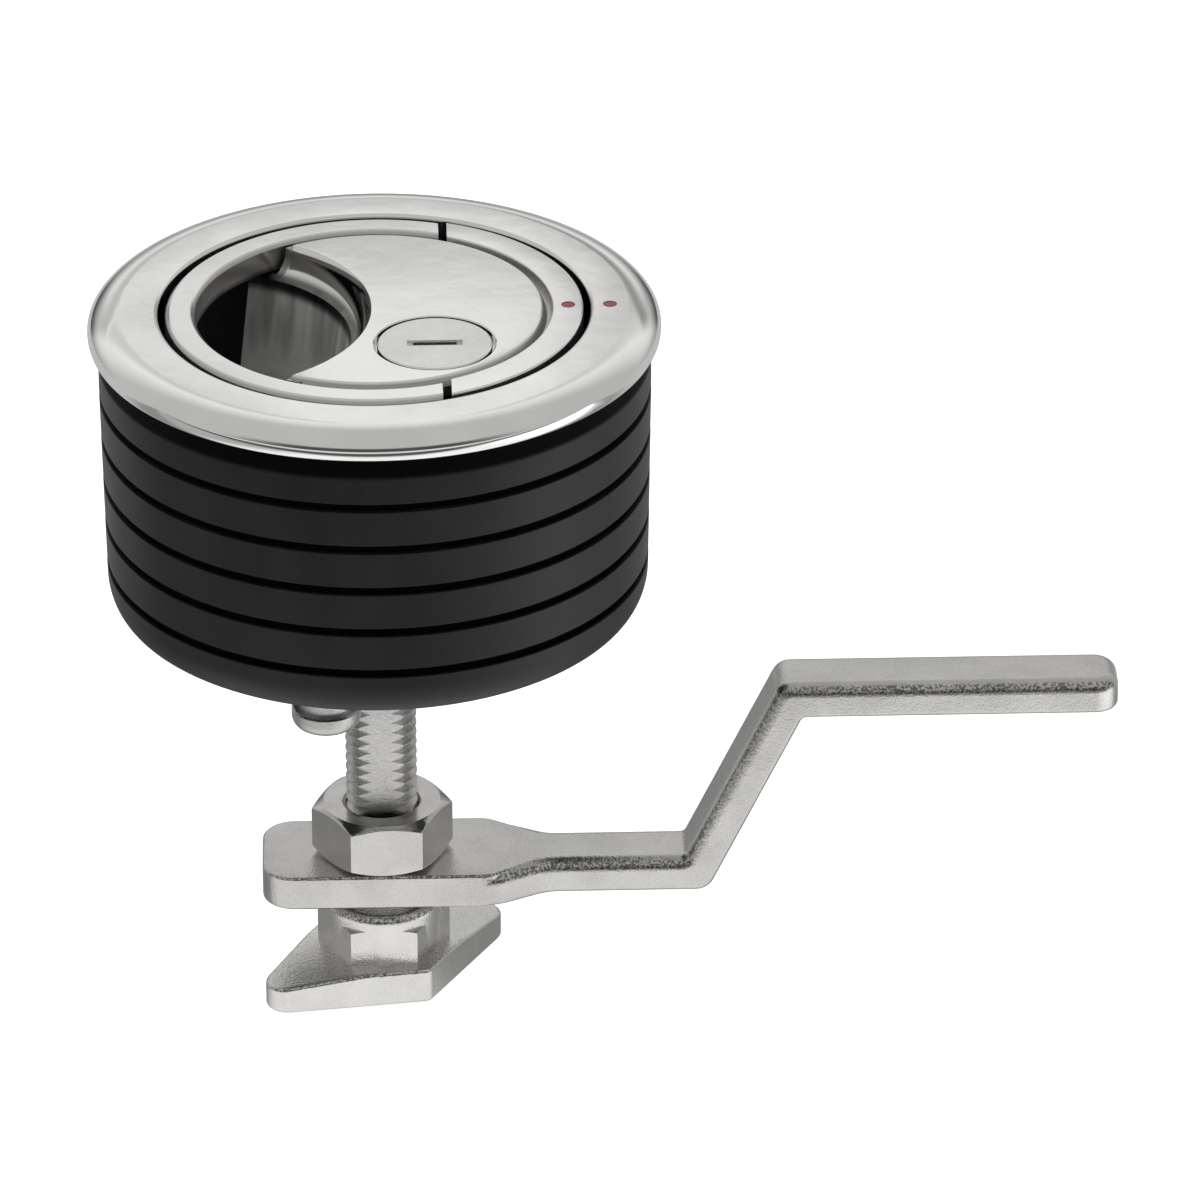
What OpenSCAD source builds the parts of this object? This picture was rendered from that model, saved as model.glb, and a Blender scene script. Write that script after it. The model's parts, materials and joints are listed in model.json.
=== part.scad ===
// Flush lift-and-turn compression latch with a key lock, a moulded body for a
// round panel hole, a threaded drive shaft and an offset cam arm.
// Origin: latch axis in the plane where the flange rests on the panel.
// +Z points out of the panel, the cam arm points along +X.

/* [Flange] */
// Outer diameter of the flange
flange_d = 77; // [76.6:0.2:84]
// Height of the flange above the panel
flange_t = 3.9; // [3.7:0.1:5]
// Radial width of the rounded rim
rim_w = 4.2; // [3:0.1:5]
// Height of the turned-under lower part of the rim
rim_under = 1.4; // [1:0.1:2]
// Depth of the recess under the flange that takes the body's top
recess_h = 0.4; // [0.3:0.1:1]
// Wall of the flange's threaded skirt
skirt_wall = 2.2; // [1.8:0.1:2.6]
// Depth of the threaded skirt below the panel's face
skirt_l = 13.8; // [8:0.2:18]

/* [Body] */
// Diameter of the moulded body where it enters the panel
body_d = 74.3; // [73.5:0.1:75.5]
// Depth of the moulded body below the flange
body_l = 39; // [38.5:0.5:46]
// Wall of the moulded body beside the flange's threaded skirt
body_wall = 6; // [5.8:0.05:6.2]
// Draft angle of the body below its first groove
body_draft = 0.9; // [0.5:0.1:1.2]
// Number of sealant grooves
groove_n = 5; // [2:1:5]
// Depth of the first groove's middle below the flange
groove_first = 7.4; // [6:0.1:8]
// Distance between grooves
groove_pitch = 6.19; // [4:0.01:6.3]
// Height of a groove
groove_h = 0.8; // [0.5:0.1:1.2]
// Depth of a groove
groove_depth = 0.9; // [0.5:0.1:1.2]
// Radial reach of the rounded bottom edge
edge_r = 3.1; // [2:0.1:4]
// Height of the rounded bottom edge
edge_h = 4.8; // [3:0.1:5.4]
// Thickness of the body's floor
floor_t = 3; // [2.5:0.1:4]
// Diameter of the neck under the floor
neck_d = 39; // [38.6:0.2:44]
// Length of the neck
neck_l = 5; // [4.6:0.1:6]

/* [Turning face] */
// Gap between the turning face and the flange
ring_gap = 0.9; // [0.6:0.1:1]
// Radial width of the handle's ring
ring_w = 4.05; // [3.8:0.05:4.2]
// Radial width of the groove between disc and ring
disc_gap = 1.4; // [1.2:0.1:1.6]
// Depth of the shallow groove beside the fixed half of the ring
vee_depth = 1.3; // [0.8:0.1:1.5]
// Thickness of the disc
disc_t = 2.8; // [2.6:0.1:2.9]
// Wall of the turning face's skirt
rotor_wall = 2.65; // [2.4:0.05:2.7]
// Thickness of the ledge under the handle
ledge_t = 2.15; // [1.8:0.05:3]

/* [Finger well] */
// Distance from the face's edge to the axis of the well's curved wall
well_inset = 3.55; // [3.2:0.05:4]
// Radius of the well's mouth
well_r = 23.8; // [22:0.1:24]
// Height of the mechanism from the body's underside to the well's floor
works_h = 23.9; // [22.9:0.1:24.5]
// Radial reach of the rolled lip
lip_w = 2.4; // [1.5:0.1:3]
// Height of the rolled lip
lip_h = 4.6; // [3:0.1:6]
// Draft angle of the well's wall
well_draft = 7; // [3:0.5:9]
// Wall around and under the well
well_wall = 1.8; // [1.4:0.1:2.2]
// Skirt wall left behind the handle, where the finger hooks under
hook_wall = 1.65; // [1.4:0.05:2]

/* [Handle] */
// Thickness of the handle's ring
handle_t = 4; // [3.6:0.1:4.3]
// Gap between the handle and its ledge
seat_gap = 0.25; // [0.2:0.05:0.4]
// Distance from the latch axis to the splits in the ring
split_x = 9.5; // [9.4:0.1:10]
// Width of the splits
split_gap = 1.1; // [1.1:0.1:1.5]
// Distance from the latch axis to the handle's pivot
pivot_x = 2.8; // [2.7:0.1:2.9]
// Depth of the pivot under the face
pivot_drop = 3.3; // [3.2:0.1:3.3]
// Diameter of the pivot pins
pivot_d = 2.4; // [2:0.1:2.6]
// Distance from the pivot to the crank pins, along the face
crank_x = 6.7; // [6.4:0.1:6.9]
// Depth of the crank pins under the pivot
crank_drop = 2.2; // [2.1:0.1:2.5]
// Diameter of the crank pins
crank_d = 2.4; // [2:0.1:2.5]
// Thickness of the handle's lugs
lug_t = 2; // [1.6:0.1:2.2]
// Thickness of the ears that hold the pivot pins
ear_t = 1.6; // [1.3:0.1:1.7]

/* [Lock] */
// Distance from the latch axis to the lock, along the arm
lock_x = 8; // [7.8:0.1:8.2]
// Distance from the yoke's cheek to the lock's axis
lock_inset = 8.3; // [8.1:0.1:8.5]
// Diameter of the lock's face
face_d = 15.8; // [14:0.2:16]
// Thickness of the lock's face
face_t = 1.6; // [1.2:0.1:1.8]
// Outer diameter of the lock barrel
barrel_d = 10.4; // [9.6:0.2:10.8]
// Diameter of the lock plug
plug_d = 7; // [6:0.2:7.6]
// Height of the barrel's lower end above the well's floor
lock_lift = 2.5; // [2.3:0.1:3.5]
// Length of the keyway
key_l = 7.4; // [5:0.2:8]
// Width of the keyway
key_w = 1.5; // [1:0.1:2]
// Reach of the tongue from the lock's axis
tongue_l = 9.9; // [9:0.1:10.1]
// Width of the tongue
tongue_w = 6; // [5:0.2:6.4]
// Thickness of the tongue
tongue_t = 2; // [1.6:0.1:2.1]

/* [Lift yoke] */
// Thickness of the yoke's cheeks
cheek_t = 2; // [1.6:0.1:2.1]
// Thickness of the yoke's web
web_t = 3; // [2.5:0.1:3.6]
// Width of the yoke's web
web_w = 14; // [12:0.5:18]
// Thickness of the bar that the tongue blocks
bar_t = 1.8; // [1.4:0.1:1.9]

/* [Shaft] */
// Outer diameter of the shaft
shaft_d = 9.85; // [9.6:0.05:10]
// Distance across the shaft's two flats
flats_w = 7.6; // [7:0.1:8]
// Diameter of the hub's stem
stem_d = 20; // [19:0.2:20.6]
// Thickness of the hub's plate
hub_t = 3; // [2.5:0.1:3.6]
// Diameter of the spring's wire
spring_wire = 1.1; // [0.8:0.1:1.1]
// Mean diameter of the spring
spring_d = 18.8; // [18:0.2:19.4]
// Number of turns of the spring
spring_turns = 4; // [3:0.5:4]

/* [Quarter-turn stop] */
// Outer diameter of the stop plate
stop_d = 34; // [33:0.5:36]
// Thickness of the stop plate
stop_t = 2.5; // [2:0.1:3]
// Distance from the latch axis to the stop screw
stop_screw_r = 15.1; // [15:0.05:15.3]
// Direction of the stop screw, seen from above
stop_screw_a = 241; // [235:1:245]
// Diameter of the stop screw's shoulder
stop_shoulder_d = 7.6; // [7:0.1:7.8]
// Diameter of the stop screw's head
stop_head_d = 9.45; // [8.5:0.05:9.8]
// Height of the stop screw's head
stop_head_t = 3; // [2.5:0.1:3.4]

/* [Nut and cam arm] */
// Width across the hex nut's flats
nut_af = 17; // [16:0.5:18]
// Height of the hex nut
nut_h = 7.8; // [6:0.1:8.5]
// Depth of the cam arm's seat below the flange
arm_drop = 79.2; // [70:0.2:90]
// Thickness of the cam arm
arm_t = 5; // [4:0.1:6]
// Width of the arm's boss
boss_w = 16.6; // [15:0.1:18]
// Length of the boss behind the shaft
boss_back = 16.6; // [14:0.1:20]
// Length of the boss in front of the shaft
boss_front = 15.8; // [14:0.1:18]
// Length of the taper from boss to bar
taper_l = 7; // [5:0.5:9]
// Width of the arm's bar
bar_w = 9.5; // [8:0.1:11]
// Distance from the shaft to the arm's first bend
knee_x = 41.75; // [36:0.25:46]
// Height that the arm steps up
rise = 26.8; // [10:0.2:27]
// Slope of the step
rise_a = 64.3; // [50:0.1:80]
// Reach of the arm's end from the latch axis
reach = 101.2; // [85:0.2:120]

/* [Wing nut] */
// Diameter of the collar
collar_d = 16; // [14:0.2:17]
// Height of the collar
collar_h = 3.9; // [2:0.1:5]
// Width across the hexagon's flats
wing_af = 15.9; // [15:0.1:17]
// Height of the hexagon
wing_hex_h = 5.3; // [4:0.05:8]
// Thickness of the wings at the hexagon
wing_t = 5.2; // [3.5:0.05:6]
// Drop of the wings' upper face towards the tips
wing_drop = 1.7; // [0.5:0.1:2.4]
// Half length of the lozenge to its sharp corners
wing_long = 22.4; // [18:0.2:24]
// Half width of the lozenge to its sharp corners
wing_short = 11.3; // [10:0.1:12]
// Direction of the wings, seen from above
wing_a = 34; // [0:1:60]

/* [Hidden] */
$fn = 96;

// Clearances: fit is a running fit, slack is between parts that only pass
fit = 0.06;
slack = 0.3;
eps = 0.01;

// Turning face and flange
top_z = flange_t;
thread_r = body_d / 2 - body_wall;
bore_r = thread_r - skirt_wall;
rotor_r = bore_r - ring_gap;
seat_r = body_d / 2 + slack / 2;
ring_in = rotor_r - ring_w;
disc_r = ring_in - disc_gap;
disc_bot = top_z - disc_t;
handle_bot = top_z - handle_t;
seat_z = handle_bot - seat_gap;
ledge_bot = seat_z - ledge_t;
skirt_in = rotor_r - rotor_wall;
well_floor = works_h - body_l;
well_under = well_floor - well_wall * 0.8;
well_x = rotor_r - well_inset;
cut = 2 * flange_d;

// Handle linkage: the crank pins drive the yoke down as the handle lifts
pivot_z = top_z - pivot_drop;
pivot_r = pivot_d / 2;
crank_r = crank_d / 2;
travel = crank_x - crank_drop;
crank_z = pivot_z - crank_drop;
eye_r = crank_r + 0.7;
knuckle_r = pivot_r + 1.1;
swing_r = norm([crank_x, crank_drop]) + eye_r + slack;
handle_end = split_x - split_gap / 2;
lug_in = sqrt(pow(ring_in, 2) - pow(pivot_x + knuckle_r, 2)) - 0.05;
ear_out = lug_in - slack;
ear_in = ear_out - ear_t;
cheek_out = ear_in - 0.2;
cheek_in = cheek_out - cheek_t;
pocket_top = crank_z + eye_r + slack;
slot_r = crank_r + 0.25;

// Lift yoke, shaft head and hub
head_t = 2;
head_r = 6.5;
web_top = well_under - head_t - 1;
web_bot = web_top - web_t;
clip_t = 0.8;
hub_top = web_bot - travel - 0.9;
floor_top = -(body_l - floor_t);
washer_t = 0.5;
boss_bot = floor_top + washer_t + 0.1;
boss_r = 13;
pocket_r = spring_d / 2 + spring_wire / 2 + 0.8;
pocket_bot = boss_bot + 2.4;
neck_bot = -body_l - neck_l;
shoulder_z = neck_bot - 0.25;
stem_r = stem_d / 2;
tail_r = 7.5;
tail_flat = 6.5;
stem_nut_t = 2.2;
stem_nut_slot = 2.4;
tail_z = shoulder_z - stop_t - stem_nut_t - 0.1;
shaft_r = shaft_d / 2;
seal_r = 0.85;
shaft_seal_z = boss_bot - 1.9;
flats_z = shaft_seal_z - seal_r - 0.65;
keyed_z = flats_z - travel - 0.3;
hub_bore_r = shaft_r + fit;

// Screws that hold the hub under the turning face
hub_screw_r = 1.5;
hub_screw_circle = rotor_r - 5.05;
hub_screw_angles = [0, 140, 220];
hub_boss_r = 3.2;
hub_screw_l = 8;
hub_head_r = 2.8;
hub_head_t = 2;

// Lock
face_r = face_d / 2;
recess_r = face_r + 0.2;
recess_z = top_z - face_t - slack;
barrel_r = barrel_d / 2;
barrel_bot = well_floor + lock_lift;
lock_y = lock_inset - cheek_in;
plug_r = plug_d / 2;
lock_boss_r = barrel_r + 2;
lock_boss_z = disc_bot - 4;
barrel_nut_t = 2;
tongue_top = barrel_bot - 0.5;
tongue_bot = tongue_top - tongue_t;
bar_bot = tongue_top + slack;
post_x = lock_x - tongue_w / 2 - 1.2;
screw_r = 1.5;

// Screws and seals in the body
stop_screw_x = stop_screw_r * cos(stop_screw_a);
stop_screw_y = stop_screw_r * sin(stop_screw_a);
stop_shoulder_r = stop_shoulder_d / 2;
stop_shoulder_l = 5.3;
stop_thread_r = 2.45;
stop_thread_l = 6;
neck_seal_z = -body_l - neck_l / 2;
rotor_seal_z = hub_top + 6;
rotor_seal_r = 0.9;
rotor_bore_r = rotor_r + 0.55;
body_seal_r = 0.7;
body_seal_c = thread_r + 2.1;

// Outer hardware
arm_top = -arm_drop;
arm_bot = arm_top - arm_t;
nut_top = arm_top + nut_h;
hole_r = shaft_r + 0.08;
collar_bot = arm_bot - collar_h;
hex_bot = collar_bot - wing_hex_h;
wing_bot = hex_bot - wing_t;
tip_r = 3;
shaft_bot = wing_bot + 1;
mark_r = 0.95;
mark_depth = 0.5;
bezel_mark_x = (bore_r + flange_d / 2 - rim_w) / 2;
rotor_mark_x = rotor_r - ring_w / 2;

// Plain helpers

// Ring between two radii and two heights
module tube(r_out, r_in, z0, z1)
    translate([0, 0, z0])
        difference() {
            cylinder(r = r_out, h = z1 - z0);
            translate([0, 0, -1]) cylinder(r = r_in, h = z1 - z0 + 2);
        }

// Upright cylinder between two heights
module post(r, z0, z1) translate([0, 0, z0]) cylinder(r = r, h = z1 - z0);

// Cylinder along Y between two places, at a given X and Z
module rod_y(r, x, z, y0, y1)
    translate([x, y0, z]) rotate([-90, 0, 0]) cylinder(r = r, h = y1 - y0);

// Box between two corners
module box(a, b) translate(a) cube(b - a);

// Extrudes an outline in X and Z along Y, between two places
module side_plate(y0, y1)
    translate([0, y1, 0]) rotate([90, 0, 0]) linear_extrude(height = y1 - y0) children();

// Round seal ring around Z
module o_ring(centre_r, wire_r, z)
    translate([0, 0, z]) rotate_extrude() translate([centre_r, 0]) circle(r = wire_r, $fn = 32);

// Runs its children as they are and mirrored across the XZ plane
module both_sides() {
    children();
    mirror([0, 1, 0]) children();
}

// Cylinder with two flats facing Y
module two_flats(r, flat, z0, z1)
    intersection() {
        post(r, z0, z1);
        box([-r - 1, -flat, z0 - 1], [r + 1, flat, z1 + 1]);
    }

// Outline with rounded corners: one radius for each corner
function unit(v) = v / norm(v);
function corner(a, b, c, r, n) =
    r <= 0 ? [b] :
    let (u = unit(a - b), w = unit(c - b), half = acos(u * w) / 2,
        centre = b + unit(u + w) * r / sin(half),
        p = b + u * r / tan(half) - centre, q = b + w * r / tan(half) - centre,
        a0 = atan2(p[1], p[0]), sweep = (atan2(q[1], q[0]) - a0 + 540) % 360 - 180)
    [for (i = [0:n]) centre + r * [cos(a0 + sweep * i / n), sin(a0 + sweep * i / n)]];
function rounded(pts, radii, n = 6) =
    let (k = len(pts))
    [for (i = [0:k - 1]) each corner(pts[(i + k - 1) % k], pts[i], pts[(i + 1) % k], radii[i], n)];

// Hexagonal nut blank with chamfered corners
module hex_blank(af, z0, z1) {
    across = af / cos(30);
    bevel = (across - 0.95 * af) / 2;
    drop = bevel * tan(30);
    intersection() {
        translate([0, 0, z0]) cylinder(d = across, h = z1 - z0, $fn = 6);
        rotate_extrude()
            polygon([[0, z0], [across / 2 - bevel, z0], [across / 2 + eps, z0 + drop],
                [across / 2 + eps, z1 - drop], [across / 2 - bevel, z1], [0, z1]]);
    }
}

// Flange and moulded body

// Polished flange with a rounded rim and a threaded skirt
module bezel() color("gainsboro") {
    rim_r = flange_d / 2;
    upper = [for (i = [0:6]) [rim_r - rim_w + rim_w * sin(i * 15),
        rim_under + (top_z - rim_under) * cos(i * 15)]];
    lower = [for (i = [1:4]) [rim_r - rim_under * 0.45 * (1 - cos(i * 22.5)),
        rim_under * (1 - sin(i * 22.5))]];
    difference() {
        rotate_extrude()
            polygon(concat([[bore_r, top_z - 0.3], [bore_r + 0.3, top_z]], upper, lower,
                [[seat_r, 0], [seat_r, recess_h], [thread_r, recess_h], [thread_r, -skirt_l],
                [bore_r, -skirt_l]]));
        translate([bezel_mark_x, 0, top_z - mark_depth]) cylinder(r = mark_r, h = 2);
    }
}

// Coloured mark on the flange
module bezel_mark() color("darkred")
    translate([bezel_mark_x, 0, top_z - mark_depth]) cylinder(r = mark_r - 0.05, h = mark_depth);

// Seal between flange and body
module body_seal() color("dimgray") o_ring(body_seal_c, body_seal_r, recess_h - body_seal_r - 0.05);

// Radius of the moulded body at a height
function body_r(z) =
    body_d / 2 - (z < -groove_first ? (-z - groove_first) * tan(body_draft) : 0);

// Black moulded body with sealant grooves, floor and neck
module housing() color("#1c1c1e") {
    edge_top = -body_l + edge_h;
    r_edge = body_r(edge_top);
    edge = [for (i = [0:6]) [r_edge - edge_r + edge_r * cos(i * 15),
        edge_top - edge_h * sin(i * 15)]];
    difference() {
        rotate_extrude()
            polygon(concat([[body_d / 2, recess_h], [body_d / 2, -groove_first]], edge,
                [[neck_d / 2, -body_l], [neck_d / 2, neck_bot], [stem_r + fit, neck_bot],
                [stem_r + fit, floor_top], [rotor_bore_r, floor_top],
                [rotor_bore_r, -skirt_l - 0.4], [thread_r + fit, -skirt_l - 0.4],
                [thread_r + fit, recess_h]]));
        for (i = [0:groove_n - 1])
            let (z = -groove_first - i * groove_pitch)
            tube(body_d, body_r(z) - groove_depth, z - groove_h / 2, z + groove_h / 2);
        tube(body_seal_c + body_seal_r + 0.1, body_seal_c - body_seal_r - 0.1,
            recess_h - 2 * body_seal_r - 0.1, recess_h + 1);
        tube(stem_r + 2 * seal_r + 0.25, 1, neck_seal_z - seal_r - 0.1, neck_seal_z + seal_r + 0.1);
        translate([stop_screw_x, stop_screw_y, 0])
            post(stop_thread_r + 0.05, neck_bot - 1, neck_bot + stop_thread_l + 0.2);
    }
}

// Slippery washer under the hub
module thrust_washer() color("ivory")
    tube(boss_r - 0.2, stem_r + slack, floor_top, floor_top + washer_t);

// Seal between neck and hub
module neck_seal() color("dimgray") o_ring(stem_r + seal_r + 0.1, seal_r, neck_seal_z);

// Shoulder screw that limits the turn
module stop_screw() color("silver")
    translate([stop_screw_x, stop_screw_y, 0]) {
        post(stop_thread_r, neck_bot - 1, neck_bot + stop_thread_l);
        post(stop_shoulder_r, neck_bot - stop_shoulder_l, neck_bot);
        rotate_extrude()
            polygon(rounded([[0, neck_bot - stop_shoulder_l],
                [stop_head_d / 2, neck_bot - stop_shoulder_l],
                [stop_head_d / 2, neck_bot - stop_shoulder_l - stop_head_t],
                [0, neck_bot - stop_shoulder_l - stop_head_t]], [0, 0.2, stop_head_t * 0.55, 0]));
    }

// Turning face

// Radius of the well's wall at a height, from the lip down to the floor
function lip(i, grow) =
    [well_r + grow - lip_w * (1 - cos(i * 15)), top_z - lip_h * sin(i * 15)];

// Solid of the well about its own axis, grown by a wall
module well_solid(grow, z_bot, z_top)
    translate([-well_x, 0, 0]) rotate_extrude()
        polygon(concat([[0, z_top], [well_r + grow, z_top]], [for (i = [0:6]) lip(i, grow)],
            [[well_r - lip_w + grow - (top_z - lip_h - z_bot) * tan(well_draft), z_bot],
            [0, z_bot]]));

// Ear that carries a pivot pin
module ear()
    union() {
        rod_y(knuckle_r - 0.1, pivot_x, pivot_z, ear_in, ear_out);
        box([pivot_x - knuckle_r + 0.1, ear_in, pivot_z],
            [pivot_x + knuckle_r - 0.1, ear_out, pivot_z + 1.4]);
    }

// Room for a handle lug to swing down, and for a cheek of the yoke
module swing_room() {
    intersection() {
        rod_y(swing_r, pivot_x, pivot_z, ear_in - 0.1, rotor_r + 1);
        box([pivot_x - 2.2 * knuckle_r, 0, -cut], [cut, cut, pocket_top]);
    }
    box([pivot_x + slot_end(90)[0] - pivot_x - slot_r - 1.7, cheek_in - slack, ledge_bot - 1],
        [pivot_x + crank_x + slot_r + 1.6, cheek_out + slack, disc_bot]);
}

// Polished casting: disc, fixed half of the ring, finger well and skirt
module rotor() color("gainsboro") difference() {
    union() {
        difference() {
            union() {
                difference() {
                    post(rotor_r, hub_top, top_z);
                    post(skirt_in, hub_top - 1, ledge_bot);
                    post(disc_r - 0.65, ledge_bot - 1, disc_bot);
                }
                intersection() {
                    well_solid(well_wall, well_under, top_z + eps);
                    post(rotor_r - hook_wall / 2, well_under - 1, top_z);
                }
                intersection() {
                    for (a = hub_screw_angles)
                        rotate(a) translate([hub_screw_circle, 0, 0])
                            post(hub_boss_r, hub_top, well_under + 0.5);
                    post(rotor_r - 0.5, hub_top - 1, top_z);
                }
            }
            intersection() {
                tube(rotor_r + 1, disc_r, seat_z, top_z + 1);
                box([-cut, -cut, seat_z - 1], [split_x + split_gap / 2, cut, top_z + 2]);
            }
            intersection() {
                well_solid(0, well_floor, top_z + eps);
                post(rotor_r - hook_wall, well_floor - 1, top_z + 1);
            }
            rotate_extrude()
                polygon([[disc_r - 0.05, top_z + eps], [disc_r + 0.3, top_z - vee_depth],
                    [ring_in - 0.3, top_z - vee_depth], [ring_in - 0.1, top_z + eps]]);
            both_sides() swing_room();
        }
        both_sides() ear();
        translate([lock_x, lock_y, 0]) post(lock_boss_r, lock_boss_z, disc_bot + 0.5);
    }
    translate([lock_x, lock_y, 0]) {
        post(recess_r, recess_z, top_z + 1);
        post(barrel_r + 0.02, lock_boss_z - 1, recess_z + 1);
    }
    translate([rotor_mark_x, 0, top_z - mark_depth]) cylinder(r = mark_r, h = 2);
    tube(rotor_r + 1, rotor_r - 2 * rotor_seal_r + 0.4, rotor_seal_z - rotor_seal_r - 0.05,
        rotor_seal_z + rotor_seal_r + 0.05);
    for (a = hub_screw_angles)
        rotate(a) translate([hub_screw_circle, 0, 0])
            post(hub_screw_r, hub_top - 1, hub_top + hub_screw_l + 1);
    both_sides() rod_y(pivot_r + 0.02, pivot_x, pivot_z, ear_in - 0.2, ear_out + 0.2);
}

// Coloured mark on the turning face
module rotor_mark() color("darkred")
    translate([rotor_mark_x, 0, top_z - mark_depth]) cylinder(r = mark_r - 0.05, h = mark_depth);

// Pins on which the handle turns
module pivot_pins() color("silver")
    both_sides() rod_y(pivot_r, pivot_x, pivot_z, ear_in + 0.05, rotor_r - 1.6);

// Fixed barrel of the key lock
module lock_barrel() color("goldenrod")
    translate([lock_x, lock_y, 0]) tube(barrel_r, plug_r + fit, barrel_bot, recess_z);

// Ring nut that holds the barrel under the disc
module barrel_nut() color("silver")
    translate([lock_x, lock_y, 0])
        tube(lock_boss_r - 0.4, barrel_r + 0.05, lock_boss_z - barrel_nut_t, lock_boss_z);

// Seal around the turning face
module rotor_seal() color("dimgray")
    o_ring(rotor_r + 0.4 - rotor_seal_r, rotor_seal_r, rotor_seal_z);

// Hub under the turning face: plate, stem, spring pocket and keyed bore
module hub() color("silver") difference() {
    union() {
        post(rotor_r, hub_top - hub_t, hub_top);
        post(boss_r, boss_bot, hub_top);
        post(stem_r, shoulder_z, hub_top);
        two_flats(tail_r, tail_flat, tail_z, hub_top);
    }
    post(pocket_r, pocket_bot, hub_top + 1);
    post(hub_bore_r, keyed_z, hub_top);
    two_flats(hub_bore_r, flats_w / 2 + fit, tail_z - 1, keyed_z + 1);
    tube(shaft_r + 2 * seal_r + 0.25, 1, shaft_seal_z - seal_r - 0.1, shaft_seal_z + seal_r + 0.1);
    for (a = hub_screw_angles)
        rotate(a) translate([hub_screw_circle, 0, 0])
            post(hub_screw_r + 0.15, hub_top - hub_t - 1, hub_top + 1);
}

// Screws that hold the hub to the turning face
module hub_screws() color("silver")
    for (a = hub_screw_angles)
        rotate(a) translate([hub_screw_circle, 0, 0]) {
            post(hub_screw_r - 0.05, hub_top - hub_t - 1, hub_top + hub_screw_l);
            post(hub_head_r, hub_top - hub_t - hub_head_t, hub_top - hub_t);
        }

// Seal around the shaft
module shaft_seal() color("dimgray") o_ring(shaft_r + seal_r + 0.12, seal_r, shaft_seal_z);

// Keyed plate that turns with the hub and meets the stop screw
module stop_plate() color("silver") {
    reach_r = stop_shoulder_r + 0.3;
    notch_r = stop_screw_r - reach_r;
    difference() {
        post(stop_d / 2, shoulder_z - stop_t, shoulder_z);
        two_flats(tail_r + 0.05, tail_flat + 0.05, shoulder_z - stop_t - 1, shoulder_z + 1);
        for (a = [stop_screw_a, stop_screw_a - 90])
            rotate(a) translate([stop_screw_r, 0, 0])
                post(reach_r, shoulder_z - stop_t - 1, shoulder_z + 1);
        rotate(stop_screw_a - 90)
            translate([0, 0, shoulder_z - stop_t - 1])
                rotate_extrude(angle = 90)
                    translate([notch_r, 0]) square([stop_d, stop_t + 2]);
    }
}

// Slotted ring nut that clamps the stop plate
module stem_nut() color("silver") difference() {
    tube(stop_screw_r - stop_shoulder_r - 0.8, tail_r + 0.05,
        tail_z + 0.1, shoulder_z - stop_t);
    for (a = [0, 90])
        rotate(a)
            box([-stop_d, -stem_nut_slot / 2, tail_z - 1], [stop_d, stem_nut_slot / 2, tail_z + 1]);
}

// Compression spring that keeps the handle down
function coil_at(t) =
    let (low = pocket_bot + spring_wire / 2 + 0.02, high = web_bot - spring_wire / 2 - 0.02)
    [spring_d / 2 * cos(360 * spring_turns * t), spring_d / 2 * sin(360 * spring_turns * t),
        low + (high - low) * t];
module return_spring() color("silver") {
    rings = 90;
    sides = 8;
    pts = [for (i = [0:rings], k = [0:sides - 1])
        let (c = coil_at(i / rings), out = unit([c[0], c[1], 0]))
        c + spring_wire / 2 * (cos(k * 45) * out + sin(k * 45) * [0, 0, 1])];
    walls = [for (i = [0:rings - 1], k = [0:sides - 1])
        let (a = i * sides + k, b = i * sides + (k + 1) % sides)
        [a, b, b + sides, a + sides]];
    start = [[for (k = [sides - 1:-1:0]) k]];
    finish = [[for (k = [0:sides - 1]) rings * sides + k]];
    polyhedron(points = pts, faces = concat(walls, start, finish));
}

// Lifting handle

// C-shaped handle with a bevelled inner edge, knuckles and crank lugs
module handle() color("gainsboro") {
    down = unit([-crank_drop, -crank_x]);
    difference() {
        union() {
            intersection() {
                rotate_extrude()
                    polygon([[ring_in, handle_bot], [rotor_r, handle_bot], [rotor_r, top_z - 0.25],
                        [rotor_r - 0.25, top_z], [ring_in + 0.65, top_z], [ring_in, top_z - 0.65]]);
                box([-cut, -cut, handle_bot - 1], [handle_end, cut, top_z + 1]);
            }
            both_sides() {
                rod_y(knuckle_r, pivot_x, pivot_z, lug_in, lug_in + 3.2);
                rod_y(eye_r, pivot_x + crank_x, crank_z, lug_in, lug_in + lug_t);
                side_plate(lug_in, lug_in + lug_t)
                    polygon([[pivot_x - 1, handle_bot + 0.2],
                        [pivot_x, pivot_z] + knuckle_r * down,
                        [pivot_x + crank_x, crank_z] + eye_r * down,
                        [pivot_x + crank_x, crank_z + eye_r],
                        [handle_end, handle_bot + 0.2]]);
            }
        }
        both_sides() {
            rod_y(pivot_r + fit, pivot_x, pivot_z, lug_in - 1, rotor_r + 1);
            rod_y(crank_r + 0.02, pivot_x + crank_x, crank_z, lug_in - 1, lug_in + lug_t + 1);
        }
    }
}

// Pins that drive the lift yoke
module crank_pins() color("silver")
    both_sides() rod_y(crank_r, pivot_x + crank_x, crank_z, cheek_in - 0.2, lug_in + lug_t);

// Lock

// Turning plug with its round face and keyway
module lock_plug() color("gainsboro")
    translate([lock_x, lock_y, 0]) difference() {
        union() {
            post(face_r, top_z - face_t, top_z);
            post(plug_r, tongue_top, top_z - face_t);
        }
        box([-key_l / 2, -key_w / 2, top_z - 1], [key_l / 2, key_w / 2, top_z + 1]);
        box([-key_l * 0.4, -key_w * 0.35, top_z - 9], [key_l * 0.4, key_w * 0.35, top_z]);
        post(screw_r, tongue_top - 1, tongue_top + 4);
    }

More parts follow.
